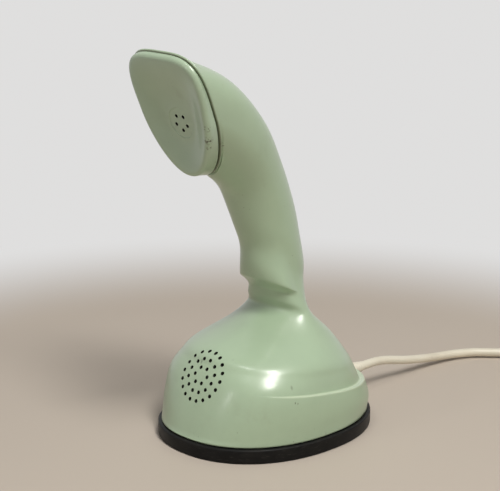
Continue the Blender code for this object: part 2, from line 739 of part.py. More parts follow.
def mouth_holes():
    bm = bmesh.new()
    for ring in range(1, MOUTH_RING_COUNT + 1):
        count = MOUTH_FIRST_RING_COUNT * ring
        start = math.pi / 2 + math.pi / count
        for spot in circle(MOUTH_RING_PITCH * ring, count, start=start):
            add_rod(bm, MOUTH_HOLE_RADIUS, -MOUTH_SEAT, MOUTH_SEAT, spot, MOUTH_HOLE_SIDES)
    return mesh_object("mouth_hole_cutter", bm)


def boss_spots():
    x, y = BASE_WIDTH / 2 - BOSS_SIDE_INSET, BASE_LENGTH / 2 - BOSS_END_INSET
    return [(sx * x, sy * y) for sx in (-1, 1) for sy in (-1, 1)]


def boss_posts():
    bm = bmesh.new()
    for spot in boss_spots():
        add_rod(bm, BOSS_RADIUS, HOUSING_FOOT, BOSS_TOP, spot)
    return mesh_object("boss_post_shape", bm)


def boss_ribs():
    # From each screw post to the wall.
    bm = bmesh.new()
    half_width = BASE_WIDTH / 2 - FOOT_SETBACK - HOUSING_WALL / 2
    half_length = BASE_LENGTH / 2 - FOOT_SETBACK - HOUSING_WALL / 2
    for x, y in boss_spots():
        share = (1 - (abs(y) / half_length) ** RING_SQUARENESS) ** (1 / RING_SQUARENESS)
        wall_x = math.copysign(half_width * share, x)
        add_box(bm, (min(x, wall_x), y - BOSS_RIB / 2, HOUSING_FOOT + OVERRUN),
                (max(x, wall_x), y + BOSS_RIB / 2, BOSS_TOP - OVERRUN))
    return mesh_object("boss_rib_shape", bm)


def boss_pilots():
    bm = bmesh.new()
    for spot in boss_spots():
        add_rod(bm, PILOT_RADIUS, HOUSING_FOOT - OVERRUN, BOSS_TOP - HOUSING_WALL, spot, SCREW_SIDES)
    return mesh_object("boss_pilot_cutter", bm)


def skin_spot_behind(height):
    # The rear wall at a height: how far back its outside and inside lie.
    marks = np.linspace(0, LEDGE_ROW - EDGE_ROWS, WALL_MARKS)
    t = min(marks, key=lambda m: abs(section_point(row_at(m), 0.0).z - height))
    outside = section_point(row_at(t), 0.0).y
    inside = (section_point(row_at(t), 0.0) - skin_normal(t, 0.0) * HOUSING_WALL).y
    return outside, inside


def make_housing(parent, colour):
    loops = [skin_loop(t) for t in outer_levels()]
    inner = [inner_loop(t) for t in inner_levels()]
    loops += [seam_inner_loop()] + inner[::-1]
    housing = place(loft("housing", loops, closed=True), colour, parent)
    apply_tool(housing, boss_ribs(), "UNION", colour, parent)
    apply_tool(housing, boss_posts(), "UNION", colour, parent)
    apply_tool(housing, boss_pilots(), "DIFFERENCE", colour, parent)
    apply_tool(housing, mouth_holes(), "DIFFERENCE", colour, parent, turn=mouth_frame())
    bm = bmesh.new()
    outside = skin_spot_behind(CORD_EXIT_Z)[0]
    add_rod(bm, CORD_HOLE_RADIUS, outside - 4 * HOUSING_WALL, outside + HOUSING_WALL, sides=ROUND_SIDES)
    apply_tool(housing, mesh_object("cord_hole_cutter", bm), "DIFFERENCE", colour, parent,
               (0, 0, CORD_EXIT_Z), TO_BACK)
    return housing


# Local Z to the back, and an upright outline in the X-Z plane
TO_BACK = Matrix.Rotation(-math.pi / 2, 4, "X")
UPRIGHT = Matrix.Rotation(math.pi / 2, 4, "X")


# Receiver: the cap, then the stack behind it, in the face's own axes

def face_frame():
    across, up, out = face_axes()
    matrix = Matrix((across, up, out)).transposed().to_4x4()
    matrix.translation = seam_centre() + out * CAP_DEPTH
    return matrix


def shield_point(angle, half_width, half_height, squareness):
    # Angle 0 is at the top of the face.
    c, s = math.cos(angle), math.sin(angle)
    square = squareness[1] if c >= 0 else squareness[0]
    along = math.copysign(abs(c) ** (2 / square), c)
    across = (1 + CAP_EGG * along) * math.copysign(abs(s) ** (2 / square), s)
    return half_width * across, half_height * along


def cap_angles():
    return [math.tau * i / CAP_SIDES for i in range(CAP_SIDES)]


def cap_loop(inset, depth, roundness=0.0):
    # The face's shield outline, drawn towards the ear disc by its roundness.
    loop = []
    for angle in cap_angles():
        x, y = shield_point(angle, CAP_HALF_WIDTH - inset, CAP_HALF_HEIGHT - inset, CAP_SQUARENESS)
        disc = Vector((EAR_DISC_RADIUS * math.sin(angle),
                       EAR_DISC_RADIUS * math.cos(angle) - EAR_DROP, -depth))
        loop.append(Vector((x, y + CAP_RAISED, -depth)).lerp(disc, roundness))
    return loop


def seam_loop(inset, ahead=0.0, least_depth=0.0):
    # The seam's outline on its leaning plane, or as deep as is asked for.
    loop = []
    for angle in cap_angles():
        x, y = shield_point(angle, SEAM_HALF_WIDTH - inset, SEAM_HALF_HEIGHT - inset, SEAM_SQUARENESS)
        y *= math.cos(SEAM_LEAN)
        loop.append(Vector((x, y, -max(CAP_DEPTH - y * math.tan(SEAM_LEAN) - ahead, least_depth))))
    return loop


CAP_FLOOR = CAP_DISH_DEPTH + CAP_WALL
GASKET_TOP = CAP_FLOOR + GAP
DIAPHRAGM_TOP = GASKET_TOP + GASKET_THICKNESS + GAP
CAN_TOP = DIAPHRAGM_TOP + DIAPHRAGM_THICKNESS + GAP
CAN_BACK = CAN_TOP + CAN_DEPTH
CLAMP_TOP = CAN_BACK + GAP
CLAMP_BACK = CLAMP_TOP + CLAMP_THICKNESS


def post_spots():
    return [(0, -EAR_DROP - CLAMP_POST_OFFSET), (0, -EAR_DROP + CLAMP_POST_OFFSET)]


def make_receiver_cap(parent, colour, frame):
    rim = CAP_RIM_RADIUS
    loops = []
    for share in DISH_SHARES:
        loops.append(cap_loop(rim, CAP_DISH_DEPTH * math.sin(math.pi / 2 * share) ** DISH_POWER, share))
    loops.append(cap_loop(rim, 0.0))
    loops.append(cap_loop(rim * (1 - math.sin(math.pi / 4)), rim * (1 - math.cos(math.pi / 4))))
    loops.append(cap_loop(0.0, rim))
    loops.append(seam_loop(0.0, GAP))
    loops.append(seam_loop(CAP_SPIGOT_INSET, GAP))
    loops.append(seam_loop(CAP_SPIGOT_INSET, -CAP_SPIGOT, CAP_FLOOR + CAP_SPIGOT))
    loops.append(seam_loop(CAP_SPIGOT_INSET + CAP_SPIGOT_WALL, -CAP_SPIGOT, CAP_FLOOR + CAP_SPIGOT))
    loops.append([Vector((p.x, p.y, -CAP_FLOOR)) for p in seam_loop(CAP_SPIGOT_INSET + CAP_SPIGOT_WALL)])
    cap = place(loft("receiver_cap", loops), colour, parent, turn=frame)
    posts = bmesh.new()
    pilots = bmesh.new()
    for spot in post_spots():
        add_rod(posts, CLAMP_POST_RADIUS, -CLAMP_TOP + GAP, -CAP_FLOOR + OVERRUN, spot)
        add_rod(pilots, SMALL_SCREW_RADIUS + GAP, -CLAMP_TOP, -CLAMP_TOP + SMALL_SCREW_LENGTH, spot,
                SMALL_SIDES)
    holes = bmesh.new()
    for x, y in circle(EAR_HOLE_CIRCLE, EAR_HOLE_COUNT, start=-math.pi / 2):
        add_rod(holes, EAR_HOLE_RADIUS, -CAP_FLOOR - OVERRUN, OVERRUN, (x, y - EAR_DROP), SMALL_SIDES)
    apply_tool(cap, mesh_object("post_shape", posts), "UNION", colour, parent, turn=frame)
    apply_tool(cap, mesh_object("post_pilot_cutter", pilots), "DIFFERENCE", colour, parent, turn=frame)
    apply_tool(cap, mesh_object("ear_hole_cutter", holes), "DIFFERENCE", colour, parent, turn=frame)


def screw(name, length=None, head=None, radius=None):
    # Head at the origin's lower side, thread up +Z.
    length = length or SMALL_SCREW_LENGTH
    radius = radius or SMALL_SCREW_RADIUS
    head = head or SMALL_HEAD_RADIUS
    height = SMALL_HEAD_HEIGHT
    return turned(name, [(0, -height), (head * HEAD_CROWN_SHARE, -height), (head, -height / 2), (head, 0),
                         (radius, 0), (radius, length), (0, length)], SCREW_SIDES)


def make_receiver_parts(parent, frame, finishes):
    axis = frame @ Matrix.Translation((0, -EAR_DROP, 0))
    ring = [(GASKET_INNER, -GASKET_TOP - GASKET_THICKNESS), (CAN_RADIUS, -GASKET_TOP - GASKET_THICKNESS),
            (CAN_RADIUS, -GASKET_TOP), (GASKET_INNER, -GASKET_TOP)]
    place(turned("receiver_gasket", ring), finishes["rubber"], parent, turn=axis)
    low = -DIAPHRAGM_TOP - DIAPHRAGM_THICKNESS
    disc = [(0, low), (CAN_RADIUS - GAP, low), (CAN_RADIUS - GAP, -DIAPHRAGM_TOP), (0, -DIAPHRAGM_TOP)]
    place(turned("receiver_diaphragm", disc), finishes["steel"], parent, turn=axis)
    can = [(0, -CAN_BACK), (CAN_RADIUS - CAN_WALL, -CAN_BACK), (CAN_RADIUS, -CAN_BACK + CAN_WALL),
           (CAN_RADIUS, -CAN_TOP), (CAN_RADIUS - CAN_WALL, -CAN_TOP),
           (CAN_RADIUS - CAN_WALL, -CAN_BACK + CAN_WALL), (0, -CAN_BACK + CAN_WALL)]
    place(turned("receiver_can", can), finishes["aluminium"], parent, turn=axis)
    low = -CAN_BACK + CAN_WALL + GAP
    magnet = [(MAGNET_BORE, low), (MAGNET_RADIUS, low), (MAGNET_RADIUS, low + MAGNET_DEPTH),
              (MAGNET_BORE, low + MAGNET_DEPTH)]
    place(turned("receiver_magnet", magnet), finishes["steel"], parent, turn=axis)
    reach = CLAMP_POST_OFFSET + CLAMP_END
    bar = rounded_rectangle(CLAMP_WIDTH, 2 * reach, CLAMP_WIDTH / 3)
    clear = SMALL_SCREW_RADIUS + GAP
    holes = [circle(clear, SMALL_SIDES, (0, side * CLAMP_POST_OFFSET)) for side in (-1, 1)]
    place(plate("receiver_clamp", bar, -CLAMP_BACK, -CLAMP_TOP, holes), finishes["steel"], parent, turn=axis)
    for side, spot in zip(("lower", "upper"), post_spots()):
        seat = frame @ Matrix.Translation((*spot, -CLAMP_BACK - GAP))
        place(screw(f"receiver_screw_{side}", SMALL_SCREW_LENGTH), finishes["brass"], parent, turn=seat)


def make_lead(parent, frame, finishes):
    # The receiver's lead, down the neck to the network board.
    below = -EAR_DROP - CLAMP_WIDTH
    route = [frame @ Vector((CLAMP_WIDTH, below, -CLAMP_TOP - LEAD_RADIUS)),
             frame @ Vector((CLAMP_WIDTH / 2, below - CLAMP_WIDTH, -CLAMP_BACK - CLAMP_WIDTH))]
    for t in LEAD_ROWS:
        route.append((section_point(row_at(t), 0.0) + section_point(row_at(t), math.pi)) / 2)
    top = Vector((0, BOARD_Y + BOARD_THICKNESS / 2, BOARD_TOP + GAP))
    rise = Vector((0, 0, LEAD_SLACK))
    route += [(route[-1] + top) / 2 + rise, top + rise, top]
    place(tube("receiver_lead", smooth_path(route, LEAD_STEP), LEAD_RADIUS, 1), finishes["red"], parent)


# Mouthpiece, in its own axes

MOUTH_GASKET_BOTTOM = -MOUTH_SEAT - MOUTH_GASKET_THICKNESS
MOUTH_CAPSULE_TOP = MOUTH_GASKET_BOTTOM - GAP
MOUTH_CAPSULE_BOTTOM = MOUTH_CAPSULE_TOP - MOUTH_CAPSULE_DEPTH
HOLDER_FLOOR_TOP = MOUTH_CAPSULE_BOTTOM - GAP
HOLDER_FLOOR_BOTTOM = HOLDER_FLOOR_TOP - HOLDER_WALL
HOLDER_INNER = MOUTH_CAPSULE_RADIUS + GAP
HOLDER_OUTER = HOLDER_INNER + HOLDER_WALL


def make_mouthpiece(parent, finishes):
    frame = mouth_frame()
    ring = [(MOUTH_GASKET_INNER, MOUTH_GASKET_BOTTOM), (MOUTH_CAPSULE_RADIUS, MOUTH_GASKET_BOTTOM),
            (MOUTH_CAPSULE_RADIUS, -MOUTH_SEAT), (MOUTH_GASKET_INNER, -MOUTH_SEAT)]
    place(turned("transmitter_gasket", ring), finishes["rubber"], parent, turn=frame)
    step = MOUTH_CAPSULE_DEPTH / 3
    capsule = [(0, MOUTH_CAPSULE_BOTTOM), (MOUTH_CAPSULE_RADIUS - 2 * HOLDER_WALL, MOUTH_CAPSULE_BOTTOM),
               (MOUTH_CAPSULE_RADIUS, MOUTH_CAPSULE_BOTTOM + step),
               (MOUTH_CAPSULE_RADIUS, MOUTH_CAPSULE_TOP), (0, MOUTH_CAPSULE_TOP)]
    place(turned("transmitter_capsule", capsule), finishes["aluminium"], parent, turn=frame)
    brim = HOLDER_FLOOR_TOP + HOLDER_CUP_DEPTH
    cup = [(HOLDER_FLOOR_BORE, HOLDER_FLOOR_BOTTOM), (HOLDER_OUTER, HOLDER_FLOOR_BOTTOM),
           (HOLDER_OUTER, brim), (HOLDER_INNER, brim),
           (HOLDER_INNER, HOLDER_FLOOR_TOP), (HOLDER_FLOOR_BORE, HOLDER_FLOOR_TOP)]
    holder = place(turned("transmitter_holder", cup), finishes["black"], parent, turn=frame)
    apply_tool(holder, holder_leg(frame), "UNION", finishes["black"], parent)
    top = HOLDER_FLOOR_BOTTOM - GAP
    end = HOLDER_FLOOR_BORE + CONTACT_WIDTH
    strip = box("transmitter_contact", (-CONTACT_WIDTH / 2, end - CONTACT_LENGTH, top - CONTACT_THICKNESS),
                (CONTACT_WIDTH / 2, end, top))
    place(strip, finishes["brass"], parent, turn=frame)


def holder_leg(frame):
    # A leg from the holder's floor down to a foot on the base plate.
    up, out = frame.to_3x3().col[1], frame.to_3x3().col[2]
    middle = frame @ Vector((0, 0, (HOLDER_FLOOR_BOTTOM + HOLDER_FLOOR_TOP) / 2))
    back = -DIAL_PLATE_RADIUS - RUN_GAP
    rear_of_floor = middle.y + (HOLDER_OUTER - HOLDER_LEG_THICKNESS) * up.y
    front = min(back - HOLDER_LEG_THICKNESS, rear_of_floor)
    foot = PLATE_TOP + GAP

    def floor_height(y):
        return middle.z + (y - middle.y) * up.z / up.y

    side = [(back, foot), (back, floor_height(back)), (front, floor_height(front)),
            (front, foot + HOLDER_FOOT_THICKNESS), (back - HOLDER_FOOT_LENGTH, foot + HOLDER_FOOT_THICKNESS),
            (back - HOLDER_FOOT_LENGTH, foot)]
    loops = [[(x, y, z) for y, z in side] for x in (-HOLDER_LEG_WIDTH / 2, HOLDER_LEG_WIDTH / 2)]
    return loft("holder_leg_shape", loops)


# Base

def make_base(parent, finishes):
    half_width, half_length = BASE_WIDTH / 2, BASE_LENGTH / 2
    seat = PLATE_BOTTOM - GAP
    steps = ((RING_EDGE, 0), (0, RING_EDGE), (0, RING_HEIGHT - RING_EDGE), (RING_EDGE, RING_HEIGHT),
             (RING_REBATE, RING_HEIGHT), (RING_REBATE, seat), (RING_THICKNESS, seat), (RING_THICKNESS, 0))
    loops = []
    for inset, z in steps:
        outline = superellipse(half_width - inset, half_length - inset, RING_SQUARENESS, WIDE_SIDES)
        loops.append([(x, y, z) for x, y in outline])
    place(loft("base_ring", loops, closed=True), finishes["rubber"], parent)
    inset = RING_REBATE + GAP
    outline = superellipse(half_width - inset, half_length - inset, RING_SQUARENESS, WIDE_SIDES)
    clear = SMALL_SCREW_RADIUS + GAP
    holes = [circle(DIAL_OPENING_RADIUS, WIDE_SIDES)]
    holes += [circle(clear, SMALL_SIDES, spot) for spot in boss_spots() + dial_screw_spots()]
    place(plate("base_plate", outline, PLATE_BOTTOM, PLATE_TOP, holes), finishes["steel"], parent)
    names = ("front_left", "rear_left", "front_right", "rear_right")
    for name, spot in zip(names, boss_spots()):
        place(screw(f"chassis_screw_{name}", BOSS_TOP - HOUSING_FOOT - HOUSING_WALL), finishes["steel"],
              parent, (*spot, PLATE_BOTTOM - GAP))
    for k, spot in enumerate(dial_screw_spots()):
        place(screw(f"dial_screw_{k + 1}"), finishes["steel"], parent, (*spot, PLATE_BOTTOM - GAP))


# Dial

def dial_screw_spots():
    return [(DIAL_SCREW_CIRCLE * math.cos(a), DIAL_SCREW_CIRCLE * math.sin(a)) for a in DIAL_SCREW_ANGLES]


def pillar_spots():
    return [(PILLAR_CIRCLE * math.cos(a), PILLAR_CIRCLE * math.sin(a)) for a in PILLAR_ANGLES]


def eared_outline(radius, ears, steps):
    # A disc with round ears, each given as distance, angle and radius.
    outline = []
    for i in range(steps):
        angle = math.tau * i / steps
        reach = radius
        for distance, ear_angle, ear_radius in ears:
            off = distance * math.sin(angle - ear_angle)
            ahead = distance * math.cos(angle - ear_angle)
            if abs(off) < ear_radius and ahead > 0:
                reach = max(reach, ahead + math.sqrt(ear_radius ** 2 - off ** 2))
        outline.append((reach * math.cos(angle), reach * math.sin(angle)))
    return outline


def gear_outline(teeth, phase):
    # Straight-sided teeth; one of them points along the phase angle.
    pitch = teeth * PITCH_PER_TOOTH
    step = math.tau / teeth
    outline = []
    for k in range(teeth):
        middle = phase + k * step
        for side, radius, share in ((-1, pitch - TOOTH_DEDENDUM, TOOTH_ROOT_SHARE),
                                    (-1, pitch + TOOTH_ADDENDUM, TOOTH_TIP_SHARE),
                                    (1, pitch + TOOTH_ADDENDUM, TOOTH_TIP_SHARE),
                                    (1, pitch - TOOTH_DEDENDUM, TOOTH_ROOT_SHARE)):
            angle = middle + side * share * step / 2
            outline.append((radius * math.cos(angle), radius * math.sin(angle)))
    return outline


def make_finger_wheel(parent, finishes):
    holes = [circle(WHEEL_BORE, ROUND_SIDES)]
    for k in range(FINGER_HOLE_COUNT):
        angle = STOP_ANGLE - FIRST_HOLE_ANGLE - k * FINGER_HOLE_STEP
        centre = (FINGER_HOLE_CIRCLE * math.cos(angle), FINGER_HOLE_CIRCLE * math.sin(angle))
        holes.append(circle(FINGER_HOLE_RADIUS, ROD_SIDES, centre))
    wheel = plate("finger_wheel", circle(WHEEL_RADIUS, WIDE_SIDES), WHEEL_BOTTOM, WHEEL_TOP, holes)
    place(wheel, finishes["ivory"], parent)
    nut = plate("wheel_nut", circle(NUT_OUTER, NUT_FLATS), NUT_BOTTOM, NUT_TOP,
                [circle(WHEEL_BORE, ROUND_SIDES)])
    place(nut, finishes["steel"], parent)


def make_dial_shaft(parent, finishes):
    shoulder = FLANGE_BOTTOM + GAP
    shaft = [(SLEEVE_INNER, NUT_BOTTOM), (SLEEVE_OUTER, NUT_BOTTOM), (SLEEVE_OUTER, FLANGE_BOTTOM),
             (FLANGE_RADIUS, FLANGE_BOTTOM), (FLANGE_RADIUS, FLANGE_TOP), (SHAFT_RADIUS, FLANGE_TOP),
             (SHAFT_RADIUS, SHAFT_TOP), (SHAFT_BORE, SHAFT_TOP), (SHAFT_BORE, shoulder),
             (SLEEVE_INNER, shoulder)]
    place(turned("dial_shaft", shaft), finishes["brass"], parent)
    holes = [circle(SHAFT_RADIUS + GAP, ROUND_SIDES)]
    for spot in circle(MAIN_GEAR_WINDOW_CIRCLE, MAIN_GEAR_WINDOWS):
        holes.append(circle(MAIN_GEAR_WINDOW, SMALL_SIDES, spot))
    teeth = gear_outline(MAIN_GEAR_TEETH, PULSE_ANGLE)
    gear = plate("main_gear", teeth, MAIN_GEAR_BOTTOM, MAIN_GEAR_TOP, holes)
    place(gear, finishes["brass"], parent)


def make_dial_frame(parent, finishes):
    ring = plate("number_ring", circle(NUMBER_RING_OUTER, WIDE_SIDES), NUMBER_RING_BOTTOM, NUMBER_RING_TOP,
                 [circle(NUMBER_RING_INNER, WIDE_SIDES)])
    place(ring, finishes["ivory"], parent)
    ears = [(DIAL_SCREW_CIRCLE, a, DIAL_EAR_RADIUS) for a in DIAL_SCREW_ANGLES]
    clear = SMALL_SCREW_RADIUS + GAP
    holes = [circle(SHAFT_RADIUS + RUN_GAP, ROUND_SIDES)]
    holes += [circle(clear, SMALL_SIDES, spot) for spot in dial_screw_spots()]
    holes += [circle(ARBOR_RADIUS + RUN_GAP, SMALL_SIDES, spot) for spot in (pulse_spot(), governor_spot())]
    frame = place(plate("dial_plate", eared_outline(DIAL_PLATE_RADIUS, ears, WIDE_SIDES), DIAL_PLATE_BOTTOM,
                        DIAL_PLATE_TOP, holes), finishes["steel"], parent)
    pillars = bmesh.new()
    profile = [(0, DIAL_PLATE_TOP - OVERRUN), (PILLAR_RADIUS, DIAL_PLATE_TOP - OVERRUN),
               (PILLAR_RADIUS, BRIDGE_BOTTOM - GAP), (PILLAR_TIP_RADIUS, BRIDGE_BOTTOM - GAP),
               (PILLAR_TIP_RADIUS, BRIDGE_TOP + GAP), (0, BRIDGE_TOP + GAP)]
    for spot in pillar_spots():
        add_turned(pillars, profile, SMALL_SIDES, spot)
    apply_tool(frame, mesh_object("pillar_shape", pillars), "UNION", finishes["steel"], parent)
    holes = [circle(ROD_RADIUS + RUN_GAP, ROUND_SIDES)]
    holes += [circle(PILLAR_TIP_RADIUS + GAP, SMALL_SIDES, spot) for spot in pillar_spots()]
    holes += [circle(ARBOR_RADIUS + RUN_GAP, SMALL_SIDES, spot) for spot in (pulse_spot(), governor_spot())]
    bridge = plate("dial_bridge", circle(BRIDGE_RADIUS, WIDE_SIDES), BRIDGE_BOTTOM, BRIDGE_TOP, holes)
    place(bridge, finishes["steel"], parent)


def make_finger_stop(parent, finishes):
    outer = NUMBER_RING_OUTER - GAP
    inner = WHEEL_RADIUS + WHEEL_CLEARANCE
    top = NUMBER_RING_BOTTOM - GAP
    hook = [(STOP_REACH, NUT_BOTTOM), (outer, NUT_BOTTOM), (outer, top), (inner, top),
            (inner, NUT_BOTTOM + STOP_THICKNESS), (STOP_REACH, NUT_BOTTOM + STOP_THICKNESS)]
    stop = plate("finger_stop", hook, -STOP_WIDTH / 2, STOP_WIDTH / 2)
    place(stop, finishes["chrome"], parent, turn=Matrix.Rotation(STOP_ANGLE, 4, "Z") @ UPRIGHT)


def make_return_spring(parent, finishes):
    loops = []
    count = round(COIL_SPRING_TURNS * COIL_SPRING_STEPS)
    for i in range(count + 1):
        angle = math.tau * i / COIL_SPRING_STEPS
        radius = COIL_SPRING_INNER + COIL_SPRING_PITCH * i / COIL_SPRING_STEPS
        loop = []
        for r, z in ((0, 0), (COIL_SPRING_THICKNESS, 0), (COIL_SPRING_THICKNESS, COIL_SPRING_WIDTH),
                     (0, COIL_SPRING_WIDTH)):
            loop.append(((radius + r) * math.cos(angle), (radius + r) * math.sin(angle),
                         COIL_SPRING_BOTTOM + z))
        loops.append(loop)
    place(loft("return_spring", loops), finishes["spring_steel"], parent)


def pulse_spot():
    return (PULSE_DISTANCE * math.cos(PULSE_ANGLE), PULSE_DISTANCE * math.sin(PULSE_ANGLE))


def governor_spot():
    # Beside the pulse gear and clear of the main gear.
    between = (PULSE_DISTANCE ** 2 + GOVERNOR_DISTANCE ** 2 - GOVERNOR_MESH ** 2) \
        / (2 * PULSE_DISTANCE * GOVERNOR_DISTANCE)
    angle = PULSE_ANGLE - math.acos(between)
    return (GOVERNOR_DISTANCE * math.cos(angle), GOVERNOR_DISTANCE * math.sin(angle))


def mesh_angle():
    # From the pulse arbor to the governor arbor.
    px, py = pulse_spot()
    gx, gy = governor_spot()
    return math.atan2(gy - py, gx - px)


def make_arbors(parent, finishes):
    low, high = DIAL_PLATE_BOTTOM + GAP, BRIDGE_TOP - GAP
    arbor = [(0, low), (ARBOR_RADIUS, low), (ARBOR_RADIUS, high), (0, high)]
    half_tooth = math.pi / PULSE_PINION_TEETH
    pulse = place(turned("pulse_arbor", arbor, ROD_SIDES), finishes["brass"], parent, (*pulse_spot(), 0))
    parts = bmesh.new()
    add_plate(parts, gear_outline(PULSE_PINION_TEETH, PULSE_ANGLE + math.pi + half_tooth),
              MAIN_GEAR_BOTTOM - GEAR_BACKLASH, MAIN_GEAR_TOP + GEAR_BACKLASH)
    cam = [(CAM_RADIUS * math.cos(a), CAM_FLAT * math.sin(a))
           for a in (math.tau * i / ROD_SIDES for i in range(ROD_SIDES))]
    add_plate(parts, cam, CAM_BOTTOM, CAM_BOTTOM + CAM_THICKNESS)
    add_plate(parts, gear_outline(PULSE_GEAR_TEETH, mesh_angle()), PULSE_GEAR_BOTTOM, PULSE_GEAR_TOP)
    apply_tool(pulse, mesh_object("pulse_wheels_shape", parts), "UNION", finishes["brass"], parent,
               (*pulse_spot(), 0))
    governor = place(turned("governor_arbor", arbor, ROD_SIDES), finishes["brass"], parent,
                     (*governor_spot(), 0))
    parts = bmesh.new()
    half_tooth = math.pi / GOVERNOR_PINION_TEETH
    add_plate(parts, gear_outline(GOVERNOR_PINION_TEETH, mesh_angle() + math.pi + half_tooth),
              PULSE_GEAR_BOTTOM - GEAR_BACKLASH, PULSE_GEAR_TOP + GEAR_BACKLASH)
    arm_low = DIAL_PLATE_TOP + 2 * GAP + CUP_FLOOR + WEIGHT_ARM / 2
    reach = WEIGHT_REACH - WEIGHT_RADIUS
    apply_tool(governor, mesh_object("governor_pinion_shape", parts), "UNION", finishes["brass"], parent,
               (*governor_spot(), 0))
    parts = bmesh.new()
    add_box(parts, (-reach, -WEIGHT_ARM / 2, arm_low + WEIGHT_ARM / 2),
            (reach, WEIGHT_ARM / 2, arm_low + WEIGHT_ARM * 3 / 2))
    apply_tool(governor, mesh_object("governor_arm_shape", parts), "UNION", finishes["brass"], parent,
               (*governor_spot(), 0))
    parts = bmesh.new()
    for side in (-1, 1):
        add_rod(parts, WEIGHT_RADIUS, arm_low, arm_low + WEIGHT_HEIGHT, (side * reach, 0), SMALL_SIDES)
    apply_tool(governor, mesh_object("governor_weights_shape", parts), "UNION", finishes["brass"], parent,
               (*governor_spot(), 0))
    floor = DIAL_PLATE_TOP + GAP
    bore = ARBOR_RADIUS + RUN_GAP
    cup = [(bore, floor), (CUP_OUTER, floor), (CUP_OUTER, CUP_TOP), (CUP_INNER, CUP_TOP),
           (CUP_INNER, floor + CUP_FLOOR), (bore, floor + CUP_FLOOR)]
    place(turned("governor_cup", cup), finishes["steel"], parent, (*governor_spot(), 0))


def make_pulse_contacts(parent, finishes):
    spot = Matrix.Translation((*pulse_spot(), 0)) @ Matrix.Rotation(PULSE_ANGLE, 4, "Z")
    near = CAM_RADIUS + GAP
    block = near + LEAF_THICKNESS + GAP
    far = block + CONTACT_BLOCK_DEPTH + GAP
    low, high = CAM_BOTTOM - GAP, CAM_BOTTOM - GAP + LEAF_HEIGHT
    start = -CAM_FLAT
    end = start + LEAF_LENGTH
    for name, x in (("pulse_contact_moving", near), ("pulse_contact_fixed", far)):
        leaf = box(name, (x, start, low), (x + LEAF_THICKNESS, end, high))
        place(leaf, finishes["brass"], parent, turn=spot)
    place(box("pulse_contact_block", (block, end - CONTACT_BLOCK_LENGTH, DIAL_PLATE_TOP + GAP),
              (block + CONTACT_BLOCK_DEPTH, end, high)), finishes["black"], parent, turn=spot)


# Hook switch

def make_plunger(parent, finishes):
    profile = [(0, BUTTON_RECESS), (BUTTON_RADIUS - BUTTON_EDGE, BUTTON_RECESS),
               (BUTTON_RADIUS, BUTTON_RECESS + BUTTON_EDGE), (BUTTON_RADIUS, BUTTON_TOP),
               (ROD_RADIUS, BUTTON_TOP),
               (ROD_RADIUS, COLLAR_BOTTOM), (COLLAR_RADIUS, COLLAR_BOTTOM), (COLLAR_RADIUS, COLLAR_TOP),
               (ROD_TIP_RADIUS, COLLAR_TOP), (ROD_TIP_RADIUS, ROD_TIP_Z), (0, ROD_TIP_Z)]
    place(turned("hook_plunger", profile), finishes["black"], parent)
    points = []
    for i in range(SPRING_TURNS * SPRING_STEPS + 1):
        angle = math.tau * i / SPRING_STEPS
        rise = (SPRING_LENGTH - 2 * SPRING_WIRE_RADIUS) * i / (SPRING_TURNS * SPRING_STEPS)
        points.append(Vector((SPRING_MEAN_RADIUS * math.cos(angle), SPRING_MEAN_RADIUS * math.sin(angle),
                              SPRING_BOTTOM + SPRING_WIRE_RADIUS + rise)))
    place(tube("plunger_spring", points, SPRING_WIRE_RADIUS, 1), finishes["spring_steel"], parent)


